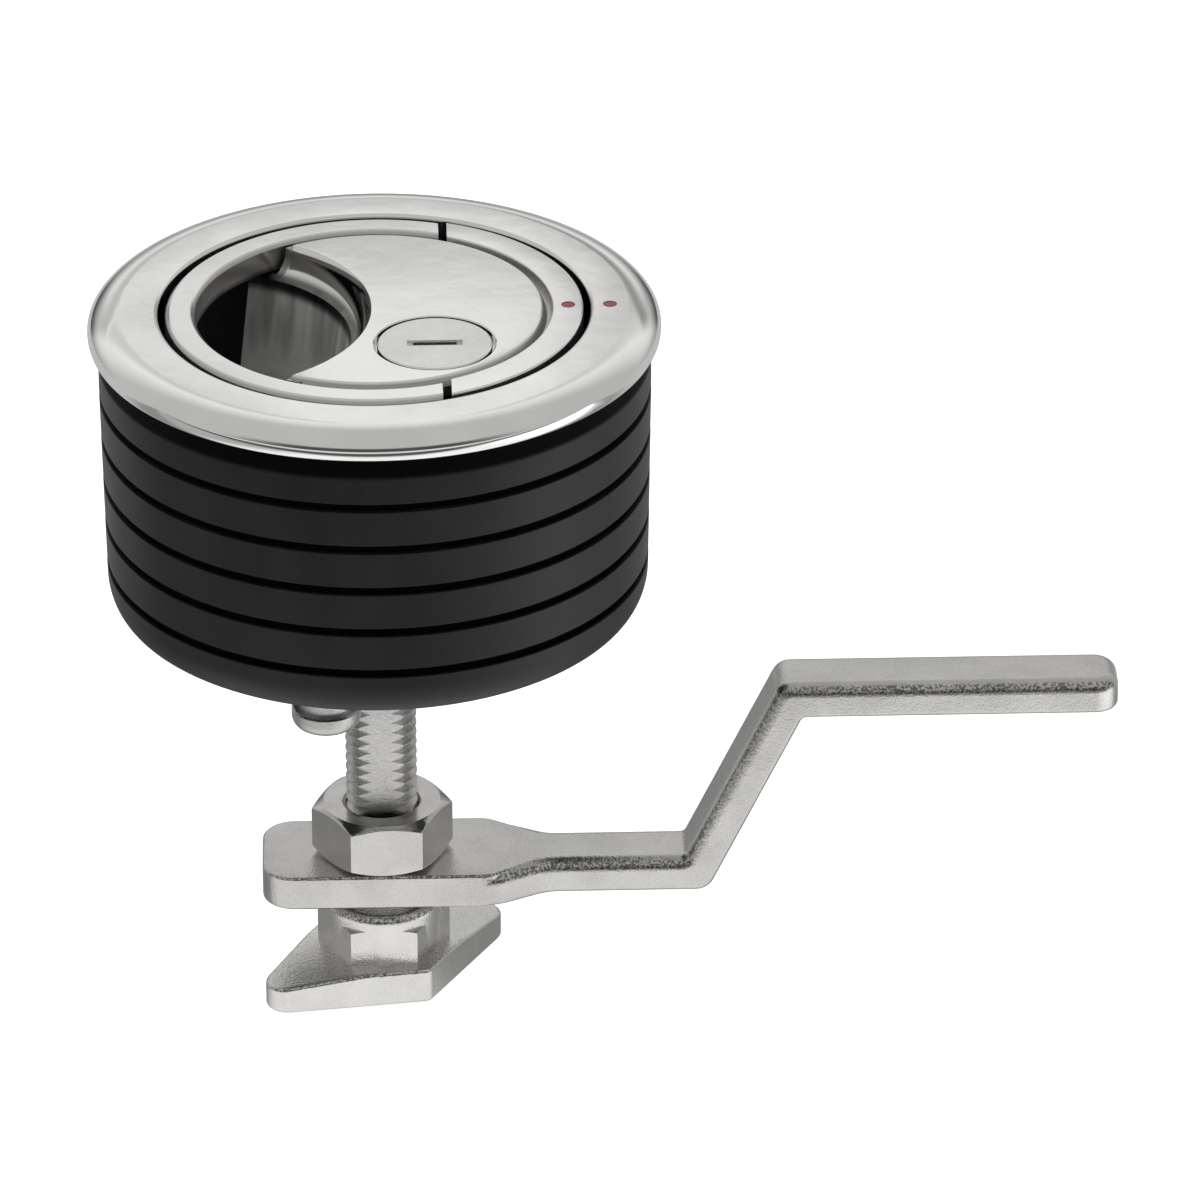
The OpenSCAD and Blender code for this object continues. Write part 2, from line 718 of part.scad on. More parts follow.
// Tongue that blocks the yoke when the lock is turned
module lock_tongue() color("silver")
    translate([lock_x, lock_y, 0]) difference() {
        union() {
            post(tongue_w / 2 + 1, tongue_bot, tongue_top);
            box([0, -tongue_w / 2, tongue_bot], [tongue_l, tongue_w / 2, tongue_top]);
        }
        post(screw_r + 0.05, tongue_bot - 1, tongue_top + 1);
    }

// Screw that holds the tongue
module tongue_screw() color("silver")
    translate([lock_x, lock_y, 0]) {
        post(screw_r - 0.05, tongue_bot - 0.5, tongue_top + 3.5);
        post(screw_r + 1.2, tongue_bot - 1.4, tongue_bot);
    }

// Lift yoke and shaft

// Path of a crank pin seen from the yoke, by the handle's angle
function slot_end(a) = [pivot_x + crank_x * cos(a) - crank_drop * sin(a),
    pivot_z - crank_x * sin(a) - crank_drop * cos(a) + travel * a / 90];
function slot_dir(a) = unit(slot_end(a + 1) - slot_end(a - 1));
function slot_edge(a, turn) =
    let (d = slot_r * slot_dir(a))
    slot_end(a) + [d[0] * cos(turn) - d[1] * sin(turn), d[0] * sin(turn) + d[1] * cos(turn)];
function slot_outline() = concat([for (i = [0:12]) slot_edge(i * 7.5, 90)],
    [for (k = [1:7]) slot_edge(90, 90 - k * 22.5)], [for (i = [12:-1:0]) slot_edge(i * 7.5, -90)],
    [for (k = [1:7]) slot_edge(0, -90 - k * 22.5)]);

// Outline of a cheek with its curved slot
module cheek_outline(bar) {
    left = slot_end(90)[0] - slot_r - 1.3;
    right = slot_end(0)[0] + slot_r + 1.1;
    head_top = disc_bot - 0.4;
    head_bot = slot_end(45)[1] - slot_r - 1.3;
    difference() {
        union() {
            polygon(rounded([[left, web_bot], [left, head_top], [right, head_top],
                [right, head_bot], [post_x, head_bot], [post_x, web_bot]], [0, 1, 1, 1, 2, 0]));
            if (bar)
                translate([post_x - 1, bar_bot]) square([lock_x + 3 - post_x + 1, bar_t]);
        }
        polygon(slot_outline());
    }
}

// U-shaped yoke that carries the shaft between two slotted cheeks
module lift_yoke() color("silver") difference() {
    union() {
        side_plate(cheek_in, cheek_out) cheek_outline(false);
        side_plate(-cheek_out, -cheek_in) cheek_outline(true);
        box([-web_w / 2, -cheek_out, web_bot], [web_w / 2, cheek_out, web_top]);
    }
    post(hole_r, web_bot - 1, web_top + 1);
}

// Headed shaft, round above and with two flats below
module shaft() color("silver")
    union() {
        post(head_r, web_top, web_top + head_t);
        difference() {
            post(shaft_r, flats_z, web_top);
            tube(shaft_r + 1, shaft_r - 0.6, web_bot - clip_t, web_bot);
        }
        two_flats(shaft_r, flats_w / 2, shaft_bot, flats_z);
    }

// Retaining ring under the yoke
module shaft_clip() color("silver")
    tube(head_r, shaft_r - 0.6 + 0.02, web_bot - clip_t + 0.02, web_bot);

// Hex nut above the cam arm
module jam_nut() color("silver")
    rotate(4) difference() {
        hex_blank(nut_af, arm_top, nut_top);
        post(hole_r, arm_top - 1, nut_top + 1);
    }

// Side outline of the arm: lower bar, step and upper bar, all one thickness
module arm_side() {
    back = arm_t / sin(rise_a) - arm_t / tan(rise_a);
    run = rise / tan(rise_a);
    polygon(rounded([[-boss_back, arm_top], [-boss_back, arm_bot], [knee_x + back, arm_bot],
        [knee_x + back + run, arm_bot + rise], [reach, arm_bot + rise], [reach, arm_top + rise],
        [knee_x + run, arm_top + rise], [knee_x, arm_top]],
        [0.6, 0.6, 2.4, 0.8, 1.2, 1.2, 2.4, 0.8]));
}

// Plan outline of the arm: boss, taper and bar
module arm_plan()
    polygon(rounded([[-boss_back, -boss_w / 2], [boss_front, -boss_w / 2],
        [boss_front + taper_l, -bar_w / 2], [reach, -bar_w / 2], [reach, bar_w / 2],
        [boss_front + taper_l, bar_w / 2], [boss_front, boss_w / 2], [-boss_back, boss_w / 2]],
        [4.5, 6, 6, 1.8, 1.8, 6, 6, 4.5]));

// Offset cam arm
module cam_arm() color("silver") difference() {
    intersection() {
        side_plate(-boss_w, boss_w) arm_side();
        translate([0, 0, arm_bot - 1]) linear_extrude(height = rise + arm_t + 2) arm_plan();
    }
    two_flats(hole_r, flats_w / 2 + 0.08, arm_bot - 1, arm_top + 1);
}

// Cast wing nut: collar, hexagon and lozenge-shaped wings
module wing_nut() color("silver") difference() {
    union() {
        post(collar_d / 2, collar_bot - 1, arm_bot);
        intersection() {
            post(wing_af, hex_bot - 1, collar_bot);
            hex_blank(wing_af, hex_bot - 3, collar_bot);
        }
        rotate(wing_a) intersection() {
            translate([0, 0, wing_bot]) linear_extrude(height = wing_t)
                polygon(rounded([[wing_long, 0], [0, wing_short], [-wing_long, 0],
                    [0, -wing_short]], [tip_r, 1.2, tip_r, 1.2]));
            side_plate(-wing_af, wing_af)
                polygon([[-wing_long, wing_bot], [wing_long, wing_bot],
                    [wing_long, hex_bot - wing_drop], [wing_af / 2, hex_bot],
                    [-wing_af / 2, hex_bot], [-wing_long, hex_bot - wing_drop]]);
        }
    }
    post(hole_r, wing_bot - 1, arm_bot + 1);
}

bezel();
bezel_mark();
body_seal();
housing();
thrust_washer();
neck_seal();
stop_screw();
rotor();
rotor_mark();
pivot_pins();
lock_barrel();
barrel_nut();
hub();
hub_screws();
rotor_seal();
shaft_seal();
stop_plate();
stem_nut();
return_spring();
handle();
crank_pins();
lock_plug();
lock_tongue();
tongue_screw();
lift_yoke();
shaft();
shaft_clip();
jam_nut();
cam_arm();
wing_nut();
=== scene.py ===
"""Flush lift-and-turn compression latch with a key lock, dressed for rendering.

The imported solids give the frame: the origin is on the latch axis in the plane where the flange
rests on its panel, +Z points out of the panel and the cam arm points along +X.  Blender works in
metres; the sizes in this file are millimetres, and each piece is shrunk once when it is finished.
FACE_Z is the height of the top face, ROUND the segments of a large circle, and FINE, CLEAN and
COARSE are the distances within which vertices are merged.
"""

import json
import logging
import math
from dataclasses import dataclass
from enum import Enum
from typing import Mapping, Sequence, Union

import bpy
from mathutils import Matrix, Vector


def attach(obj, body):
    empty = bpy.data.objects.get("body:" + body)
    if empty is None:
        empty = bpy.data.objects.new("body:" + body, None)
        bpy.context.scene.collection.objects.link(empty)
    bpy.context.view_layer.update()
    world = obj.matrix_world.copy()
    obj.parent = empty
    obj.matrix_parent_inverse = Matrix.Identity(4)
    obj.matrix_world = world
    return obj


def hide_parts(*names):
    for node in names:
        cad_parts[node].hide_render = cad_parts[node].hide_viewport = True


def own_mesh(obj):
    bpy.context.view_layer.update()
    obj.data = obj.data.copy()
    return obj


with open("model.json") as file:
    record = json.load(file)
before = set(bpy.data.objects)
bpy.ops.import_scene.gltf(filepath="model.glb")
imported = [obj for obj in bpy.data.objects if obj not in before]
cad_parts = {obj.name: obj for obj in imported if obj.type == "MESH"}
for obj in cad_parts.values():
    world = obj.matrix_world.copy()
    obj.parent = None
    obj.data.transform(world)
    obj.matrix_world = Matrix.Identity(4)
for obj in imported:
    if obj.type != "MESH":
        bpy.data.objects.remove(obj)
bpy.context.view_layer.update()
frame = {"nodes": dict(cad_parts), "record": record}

MM = 0.001
FACE_Z = 3.9
ROUND = 200
FINE, CLEAN, COARSE = 1e-4, 1e-3, 2e-3
Pair = tuple[float, float]
Number = Union[int, float]
log = logging.getLogger("latch")


class Body(Enum):
    """The rigid bodies that pieces ride on."""

    HOUSING = "housing"
    ROTOR = "rotor"
    HANDLE = "handle"
    LOCK = "lock"
    SHAFT = "shaft"


class Join(Enum):
    """What a second solid does to the first."""

    ADD = "UNION"
    CUT = "DIFFERENCE"
    KEEP = "INTERSECT"


# ---- Outlines ----


def arc(centre: Pair, radius: float, start: float, end: float, steps: int = 6,
        tall: float | None = None) -> list[Pair]:
    """Points along an arc, or along a quarter of an ellipse.

    Args:
        centre: Centre of the arc.
        radius: Radius, or the half width of the ellipse.
        start: First angle in degrees.
        end: Last angle in degrees.
        steps: Number of segments.
        tall: Half height of the ellipse, where it isn't a circle.

    Returns:
        The points from start to end.
    """
    high = radius if tall is None else tall
    angles = [math.radians(start + (end - start) * i / steps) for i in range(steps + 1)]
    return [(centre[0] + radius * math.cos(a), centre[1] + high * math.sin(a)) for a in angles]


def rounded(corners: Sequence[tuple[float, float, float]], steps: int = 6) -> list[Pair]:
    """Rounds the corners of a closed outline.

    Args:
        corners: Corners as (x, y, radius).
        steps: Segments in each rounded corner.

    Returns:
        The outline's points.
    """
    outline: list[Pair] = []
    count = len(corners)
    for i, (x, y, radius) in enumerate(corners):
        if radius <= 0:
            outline.append((x, y))
            continue
        here = Vector((x, y))
        back = (Vector(corners[i - 1][:2]) - here).normalized()
        ahead = (Vector(corners[(i + 1) % count][:2]) - here).normalized()
        half = back.angle(ahead) / 2
        centre = here + (back + ahead).normalized() * radius / math.sin(half)
        first = here + back * radius / math.tan(half) - centre
        turn = first.angle_signed(here + ahead * radius / math.tan(half) - centre)
        for k in range(steps + 1):
            spoke = first.copy()
            spoke.rotate(Matrix.Rotation(-turn * k / steps, 2))
            outline.append((centre.x + spoke.x, centre.y + spoke.y))
    return outline


# ---- Bench ----


class Bench:
    """Bench tools that shape meshes with operators, as by hand, in millimetres."""

    @staticmethod
    def clear() -> None:
        """Leaves edit mode and deselects everything."""
        if bpy.context.mode != "OBJECT":
            bpy.ops.object.mode_set(mode="OBJECT")
        bpy.ops.object.select_all(action="DESELECT")

    @staticmethod
    def take(piece: bpy.types.Object) -> None:
        """Makes the piece the only selected and the active object."""
        Bench.clear()
        piece.select_set(True)
        bpy.context.view_layer.objects.active = piece

    @staticmethod
    def settle() -> None:
        """Applies the selected piece's place, turn and scale."""
        bpy.ops.object.transform_apply(location=True, rotation=True, scale=True)

    @staticmethod
    def modify(piece: bpy.types.Object, kind: str, **settings: object) -> None:
        """Adds a modifier to the active piece, sets its properties and applies it.

        Args:
            piece: The active piece.
            kind: Type of the modifier.
            **settings: Its properties.
        """
        bpy.ops.object.modifier_add(type=kind)
        step = piece.modifiers[-1]
        for key, value in settings.items():
            setattr(step, key, value)
        bpy.ops.object.modifier_apply(modifier=step.name)

    @staticmethod
    def chain(name: str, points: Sequence[Vector], closed: bool) -> bpy.types.Object:
        """Draws a chain of edges by extruding one vertex from point to point.

        Args:
            name: Name of the new object.
            points: Places of the vertices.
            closed: Whether the last point joins the first.

        Returns:
            The new object, left in edit mode with all its vertices selected.
        """
        Bench.clear()
        bpy.ops.mesh.primitive_plane_add(size=1.0)
        piece = bpy.context.object
        piece.name = name
        bpy.ops.object.mode_set(mode="EDIT")
        bpy.ops.mesh.merge(type="CENTER")
        bpy.ops.transform.translate(value=points[0])
        stops = list(points) + ([points[0]] if closed else [])
        for here, there in zip(stops, stops[1:]):
            bpy.ops.mesh.extrude_vertices_move(TRANSFORM_OT_translate={"value": there - here})
        bpy.ops.mesh.select_all(action="SELECT")
        if closed:
            bpy.ops.mesh.remove_doubles(threshold=FINE)
        return piece

    @staticmethod
    def tidy(merge: float = FINE) -> None:
        """Merges the active piece's doubles, turns its faces outwards and leaves edit mode."""
        bpy.ops.object.mode_set(mode="EDIT")
        bpy.ops.mesh.select_mode(type="VERT")
        bpy.ops.mesh.select_all(action="SELECT")
        bpy.ops.mesh.remove_doubles(threshold=merge)
        bpy.ops.mesh.normals_make_consistent(inside=False)
        bpy.ops.object.mode_set(mode="OBJECT")

    @staticmethod
    def close(piece: bpy.types.Object) -> None:
        """Merges doubles and fills what is still open."""
        Bench.take(piece)
        Bench.tidy(COARSE)
        bpy.ops.object.mode_set(mode="EDIT")
        bpy.ops.mesh.select_all(action="SELECT")
        bpy.ops.mesh.fill_holes(sides=0)
        Bench.tidy(COARSE)

    @staticmethod
    def lathe(name: str, profile: Sequence[Pair], steps: int = 160, at: Pair = (0.0, 0.0)
              ) -> bpy.types.Object:
        """Spins a profile of (radius, height) round an upright axis.

        Args:
            name: Name of the new object.
            profile: A loop of points, or points from axis to axis.
            steps: Segments round the axis.
            at: Place of the axis in X and Y.

        Returns:
            The closed solid.
        """
        points = [Vector((at[0] + r, at[1], z)) for r, z in profile]
        piece = Bench.chain(name, points, profile[0][0] > 0.0)
        bpy.ops.mesh.spin(steps=steps, angle=math.tau, use_auto_merge=True,
                          center=(at[0], at[1], 0.0), axis=(0.0, 0.0, 1.0))
        Bench.tidy()
        return piece

    @staticmethod
    def plate(name: str, outline: Sequence[Pair], low: float, high: float,
              upright: bool = False) -> bpy.types.Object:
        """Extrudes a closed outline into a plate.

        Args:
            name: Name of the new object.
            outline: Points in X and Y, or in X and Z where the plate stands upright.
            low: Where the plate begins, along Z, or along Y where it stands upright.
            high: Where the plate ends.
            upright: Whether the outline lies in X and Z.

        Returns:
            The closed solid.
        """
        if upright:
            points, step = [Vector((x, low, z)) for x, z in outline], Vector((0, high - low, 0))
        else:
            points, step = [Vector((x, y, low)) for x, y in outline], Vector((0, 0, high - low))
        piece = Bench.chain(name, points, True)
        bpy.ops.mesh.edge_face_add()
        bpy.ops.mesh.extrude_region_move(TRANSFORM_OT_translate={"value": step})
        Bench.tidy()
        return piece

    @staticmethod
    def rod(name: str, radius: float, start: Vector, end: Vector, sides: int = 48,
            turn: float = 0.0) -> bpy.types.Object:
        """Adds a round or many-sided bar between two points.

        Args:
            name: Name of the new object.
            radius: Radius over the corners.
            start: Centre of one end.
            end: Centre of the other end.
            sides: Number of sides.
            turn: Turn about its own axis in degrees.

        Returns:
            The bar, with its place applied.
        """
        Bench.clear()
        along = end - start
        bpy.ops.mesh.primitive_cylinder_add(vertices=sides, radius=radius, depth=along.length)
        piece = bpy.context.object
        piece.name = name
        spin = along.to_track_quat("Z", "Y").to_matrix().to_4x4()
        piece.matrix_world = (Matrix.Translation((start + end) / 2) @ spin
                              @ Matrix.Rotation(math.radians(turn), 4, "Z"))
        Bench.settle()
        return piece

    @staticmethod
    def axle(name: str, radius: float, at: Pair, near: float, far: float, sides: int = 48
             ) -> bpy.types.Object:
        """Adds a bar along Y, at a place in X and Z, from near to far."""
        start, end = (Vector((at[0], y, at[1])) for y in (near, far))
        return Bench.rod(name, radius, start, end, sides)

    @staticmethod
    def drill(piece: bpy.types.Object, radius: float, at: Pair, low: float, high: float,
              sides: int = 32) -> None:
        """Cuts an upright hole into a piece.

        Args:
            piece: Solid to drill.
            radius: Radius over the hole's corners.
            at: Place of its axis in X and Y.
            low: Where the cutter begins, along Z.
            high: Where the cutter ends.
            sides: Number of its sides.
        """
        cutter = Bench.rod("drill", radius, Vector((*at, low)), Vector((*at, high)), sides)
        Bench.combine(piece, cutter, Join.CUT)

    @staticmethod
    def wind(name: str, section: Sequence[Pair], closed: bool, pitch: float, turns: int,
             steps: int) -> bpy.types.Object:
        """Winds a section upwards round the latch axis.

        Args:
            name: Name of the new object.
            section: Points of the section as (radius, height).
            closed: Whether it is a loop, or else one row of touching threads.
            pitch: Rise of one turn.
            turns: Number of turns.
            steps: Segments in one turn.

        Returns:
            The winding, open at both ends.
        """
        piece = Bench.chain(name, [Vector((r, 0, z)) for r, z in section], closed)
        bpy.ops.object.mode_set(mode="OBJECT")
        Bench.modify(piece, "SCREW", angle=math.tau, screw_offset=pitch, iterations=turns,
                     steps=steps, render_steps=steps, use_merge_vertices=not closed,
                     merge_threshold=CLEAN)
        return piece

    @staticmethod
    def block(name: str, low: Sequence[float], high: Sequence[float]) -> bpy.types.Object:
        """Adds a block between two corners, with its place applied."""
        Bench.clear()
        bpy.ops.mesh.primitive_cube_add(size=1.0)
        piece = bpy.context.object
        piece.name = name
        lower, upper = Vector(low), Vector(high)
        piece.location = (lower + upper) / 2
        piece.scale = upper - lower
        Bench.settle()
        return piece

    @staticmethod
    def combine(piece: bpy.types.Object, other: bpy.types.Object, how: Join) -> None:
        """Adds, cuts or keeps with a second solid, which is used up.

        Args:
            piece: Solid that stays.
            other: Solid that is applied to it.
            how: What the second solid does.
        """
        Bench.take(piece)
        Bench.modify(piece, "BOOLEAN", operation=how.value, object=other, solver="EXACT")
        Bench.take(other)
        bpy.ops.object.delete()
        Bench.take(piece)
        Bench.tidy(CLEAN)

    @staticmethod
    def mirrored(piece: bpy.types.Object) -> bpy.types.Object:
        """Returns a copy with its own mesh, mirrored across the XZ plane."""
        Bench.take(piece)
        bpy.ops.object.duplicate(linked=False)
        copy = bpy.context.object
        copy.scale = (1.0, -1.0, 1.0)
        Bench.settle()
        Bench.tidy()
        return copy

    @staticmethod
    def slice(piece: bpy.types.Object, place: Sequence[float], normal: Sequence[float]) -> None:
        """Cuts the piece with a plane, drops what lies beyond it and closes the cut."""
        Bench.take(piece)
        bpy.ops.object.mode_set(mode="EDIT")
        bpy.ops.mesh.select_all(action="SELECT")
        bpy.ops.mesh.bisect(plane_co=place, plane_no=normal, use_fill=True, clear_outer=True)
        Bench.tidy()

    @staticmethod
    def soften(piece: bpy.types.Object, width: float, angle: float = 35.0, rows: int = 3,
               full: bool = False, beyond_x: float | None = None,
               lower_side: tuple[Sequence[Pair], float] | None = None) -> None:
        """Rounds the sharp edges with an applied bevel.

        Args:
            piece: Solid to round.
            width: Width of the rounding.
            angle: Only edges sharper than this many degrees are rounded.
            rows: Rows of faces in the rounding.
            full: Whether the width is kept where short edges would narrow it.
            beyond_x: Only edges whose middle lies beyond this X are rounded, if it is given.
            lower_side: A line of (x, z) points, and the share of the width for edges below it.
        """
        Bench.take(piece)
        bpy.ops.object.mode_set(mode="EDIT")
        bpy.ops.mesh.select_mode(type="EDGE")
        bpy.ops.mesh.select_all(action="SELECT")
        bpy.ops.mesh.dissolve_limited(angle_limit=math.radians(0.6))
        bpy.ops.mesh.select_all(action="DESELECT")
        bpy.ops.mesh.edges_select_sharp(sharpness=math.radians(angle))
        bpy.ops.object.mode_set(mode="OBJECT")
        mesh = piece.data
        weights = mesh.attributes.new("bevel_weight_edge", "FLOAT", "EDGE")
        for edge in mesh.edges:
            middle = (mesh.vertices[edge.vertices[0]].co + mesh.vertices[edge.vertices[1]].co) / 2
            chosen = edge.select and (beyond_x is None or middle.x > beyond_x)
            share = 1.0
            if lower_side is not None:
                line, below = lower_side
                start, stop = next((a, b) for a, b in zip(line, line[1:]) if middle.x <= b[0])
                along = (middle.x - start[0]) / (stop[0] - start[0])
                level = start[1] + (stop[1] - start[1]) * along
                share = 1.0 if middle.z > level else below
            weights.data[edge.index].value = share if chosen else 0.0
        Bench.modify(piece, "BEVEL", width=width, segments=rows, limit_method="WEIGHT",
                     miter_outer="MITER_ARC", use_clamp_overlap=not full)
        Bench.tidy(CLEAN)


# ---- Shader maths ----


class Recipe:
    """A material's node tree, with one method for every kind of node."""

    def __init__(self, name: str, tree: bpy.types.NodeTree | None = None) -> None:
        """Starts an empty node material, or empties the given tree."""
        if tree is None:
            self.material = bpy.data.materials.new(name)
            self.material.use_nodes = True
            tree = self.material.node_tree
        self.tree = tree
        tree.nodes.clear()

    def node(self, kind: str, settings: Mapping[str, object] | None = None,
             inputs: Mapping[Union[int, str], object] | None = None) -> bpy.types.Node:
        """Adds a node.

        Args:
            kind: Node type, such as "ShaderNodeTexNoise".
            settings: Properties that are set first.
            inputs: Values, or wires to link, by socket name or number.

        Returns:
            The new node.
        """
        made = self.tree.nodes.new(kind)
        for key, value in (settings or {}).items():
            setattr(made, key, value)
        for key, value in (inputs or {}).items():
            if isinstance(value, Wire):
                self.tree.links.new(value.socket, made.inputs[key])
            else:
                made.inputs[key].default_value = value
        return made

    def wire(self, kind: str, settings: Mapping[str, object] | None = None,
             inputs: Mapping[Union[int, str], object] | None = None,
             output: Union[int, str] = 0) -> "Wire":
        """Adds a node as node() does, and returns one of its outputs."""
        return Wire(self, self.node(kind, settings, inputs).outputs[output])

    def place(self, stretch: Sequence[float] = (1.0, 1.0, 1.0), shift: Sequence[float] = (0, 0, 0)
              ) -> "Wire":
        """Object coordinates in millimetres, stretched and shifted by a Mapping node."""
        coords = self.wire("ShaderNodeTexCoord", output="Object")
        return self.wire("ShaderNodeMapping", {}, {
            "Vector": coords, "Scale": tuple(s / MM for s in stretch), "Location": tuple(shift)})

    def split(self, vector: "Wire") -> tuple["Wire", "Wire", "Wire"]:
        """The three parts of a vector."""
        parts = self.node("ShaderNodeSeparateXYZ", {}, {0: vector}).outputs
        return Wire(self, parts[0]), Wire(self, parts[1]), Wire(self, parts[2])

    def noise(self, where: "Wire", scale: float, detail: float = 2.0, rough: float = 0.5) -> "Wire":
        """Noise from 0 to 1, with its scale in grains per millimetre."""
        return self.wire("ShaderNodeTexNoise", {"noise_dimensions": "3D"}, {
            "Vector": where, "Scale": scale, "Detail": detail, "Roughness": rough}, "Fac")

    def buffing(self) -> "Wire":
        """Long marks of the buffing wheel, from 0 to 1."""
        return self.noise(self.place((0.35, 2.4, 1.0)), 1.6, 4.0, 0.65)

    def ramp(self, value: "Wire", low: float, high: float) -> "Wire":
        """Maps low to 0 and high to 1, smoothly and clamped."""
        return self.wire("ShaderNodeMapRange", {"interpolation_type": "SMOOTHSTEP", "clamp": True},
                         {"Value": value, "From Min": low, "From Max": high})

    def tint(self, mask: "Wire", low: Union["Wire", Sequence[float]], high: Sequence[float]
             ) -> "Wire":
        """Colour from low to high by a mask, through a Mix node."""
        first = low if isinstance(low, Wire) else (*low, 1.0)
        return self.wire("ShaderNodeMix", {"data_type": "RGBA"},
                         {0: mask, 6: first, 7: (*high, 1.0)}, 2)

    def grey(self, tone: "Wire") -> "Wire":
        """Grey of a tone."""
        return self.wire("ShaderNodeCombineColor", {}, {0: tone, 1: tone, 2: tone})

    def choose(self, ray: str, other: "Wire", seen: "Wire") -> "Wire":
        """Shader that is the second for one kind of ray, and the first for all others."""
        path = self.wire("ShaderNodeLightPath", output=ray)
        return self.wire("ShaderNodeMixShader", {}, {0: path, 1: other, 2: seen})

    def bump(self, height: "Wire", distance: float) -> "Wire":
        """Normal from a height, with the distance in millimetres."""
        return self.wire("ShaderNodeBump", {}, {"Height": height, "Strength": 1.0,
                                                "Distance": distance * MM}, "Normal")

    def finish(self, varying: Mapping[str, "Wire"], fixed: Mapping[str, object]
               ) -> bpy.types.Material:
        """Ends the tree with a Principled shader.

        Args:
            varying: Wires by socket name.
            fixed: Constants by socket name.

        Returns:
            The finished material.
        """
        shader = self.wire("ShaderNodeBsdfPrincipled", {}, {**fixed, **varying}, "BSDF")
        self.node("ShaderNodeOutputMaterial", {}, {"Surface": shader})
        return self.material


class Wire:
    """One output socket in a shader expression; arithmetic on it adds Math nodes."""

    def __init__(self, recipe: Recipe, socket: bpy.types.NodeSocket) -> None:
        """Wraps a socket of the recipe's tree."""
        self.recipe = recipe
        self.socket = socket

    def _math(self, operation: str, left: object, right: object) -> "Wire":
        """Adds a Math node on two operands."""
        return self.recipe.wire("ShaderNodeMath", {"operation": operation}, {0: left, 1: right})

    def __add__(self, other: Union["Wire", Number]) -> "Wire":
        """Sum."""
        return self._math("ADD", self, other)

    __radd__ = __add__

    def __sub__(self, other: Union["Wire", Number]) -> "Wire":
        """Difference."""
        return self._math("SUBTRACT", self, other)

    def __rsub__(self, other: Number) -> "Wire":
        """Difference from a number."""
        return self._math("SUBTRACT", other, self)

    def __mul__(self, other: Union["Wire", Number]) -> "Wire":
        """Product."""
        return self._math("MULTIPLY", self, other)

    __rmul__ = __mul__

    def __pow__(self, other: Number) -> "Wire":
        """Power."""
        return self._math("POWER", self, other)


# ---- Finishes ----


@dataclass(frozen=True)
class PolishedSteel:
    """Mirror-polished stainless casting with faint buffing marks."""

    light: Sequence[float] = (0.88, 0.872, 0.858)
    dark: Sequence[float] = (0.83, 0.822, 0.808)
    gloss: float = 0.045
    haze: float = 0.05
    ripple: float = 0.012

    def make(self, name: str) -> bpy.types.Material:
        """Builds the material."""
        mix = Recipe(name)
        cloud = mix.ramp(mix.noise(mix.place(), 0.09, 3.0), 0.35, 0.7)
        marks = mix.buffing()
        fine = mix.noise(mix.place(), 3.5, 2.0)
        rough = self.gloss + self.haze * cloud * mix.ramp(marks, 0.3, 0.75) + fine * 0.02
        height = mix.noise(mix.place(), 0.16, 2.0) * 0.75 + marks * 0.03
        return mix.finish({"Base Color": mix.tint(cloud, self.light, self.dark),
                           "Roughness": rough, "Normal": mix.bump(height, self.ripple)},
                          {"Metallic": 1.0})


@dataclass(frozen=True)
class FacedSteel:
    """Stainless casting, buffed bright, with satin recesses round the rim that are darkened by
    painted shade.

    The finger well's wall has upright bands of painted reflection, lighter towards the bottom, and
    a band of painted shade under its rolled lip.
    """

    face_z: float = FACE_Z
    inner_r: float = 22.5
    well_x: float = -24.5
    light: Sequence[float] = (0.88, 0.872, 0.858)
    # Colour at tone zero: painted shade in the recesses, and the dark of the painted reflection on
    # the well's wall.
    dark: Sequence[float] = (0.52, 0.512, 0.50)
    gloss: float = 0.05
    # Dark colour under the rolled lip: painted shade.
    lip_shade: Sequence[float] = (0.07, 0.068, 0.064)
    satin: float = 0.27
    ripple: float = 0.012
    grain: float = 0.03

    def make(self, name: str) -> bpy.types.Material:
        """Builds the material."""
        mix = Recipe(name)
        side, depth, height = mix.split(mix.place())
        reach = (side * side + depth * depth) ** 0.5
        outside = mix.ramp(reach, self.inner_r - 0.2, self.inner_r)
        buffed = 1.0 - outside * (1.0 - mix.ramp(height, self.face_z - 0.4, self.face_z - 0.06))
        from_well = ((side - self.well_x) * (side - self.well_x) + depth * depth) ** 0.5
        wall = (1.0 - mix.ramp(from_well, 21.9, 22.6)) * (1.0 - mix.ramp(height, -0.6, 1.6))
        # Upright bands of painted reflection on the well's wall.
        bands = mix.ramp(mix.noise(mix.place((1.0, 1.0, 0.03), (2, 5, 0)), 0.32, 2.0), 0.36, 0.62)
        bands = 0.5 + (bands - 0.5) * mix.ramp(height, -14.8, -11.0)
        cloud = mix.noise(mix.place(), 0.12, 3.0)
        marks = mix.buffing()
        grain = mix.noise(mix.place(shift=(3, 1, 7)), 2.6, 3.0, 0.6)
        smooth = buffed * (1.0 - wall)
        matt = 1.0 - smooth
        rough = (self.gloss + 0.05 * cloud * marks) * smooth + (self.satin + 0.1 * grain) * matt
        relief = cloud * (self.ripple / self.grain) * smooth + grain * matt
        # The wall's painted reflection is lighter towards the bottom.
        foot = 1.0 - mix.ramp(height, -13.5, -6.5)
        # Recesses, where buffed is zero, take the dark colour as painted shade; the wall takes its
        # painted reflection.
        tone = buffed * (1.0 - 0.12 * cloud) * (1.0 - wall) + wall * (bands + foot)
        # Band of painted shade under the rolled lip.
        neck = mix.ramp(height, -3.0, -1.3) * (1.0 - mix.ramp(height, 0.1, 1.3))
        neck = neck * (1.0 - mix.ramp(from_well, 22.2, 23.0))
        colour = mix.tint(neck * 0.85, mix.tint(tone, self.dark, self.light), self.lip_shade)
        return mix.finish({"Base Color": colour, "Roughness": rough,
                           "Metallic": 1.0 - 0.5 * wall * (1.0 - neck),
                           "Normal": mix.bump(relief, self.grain)}, {})


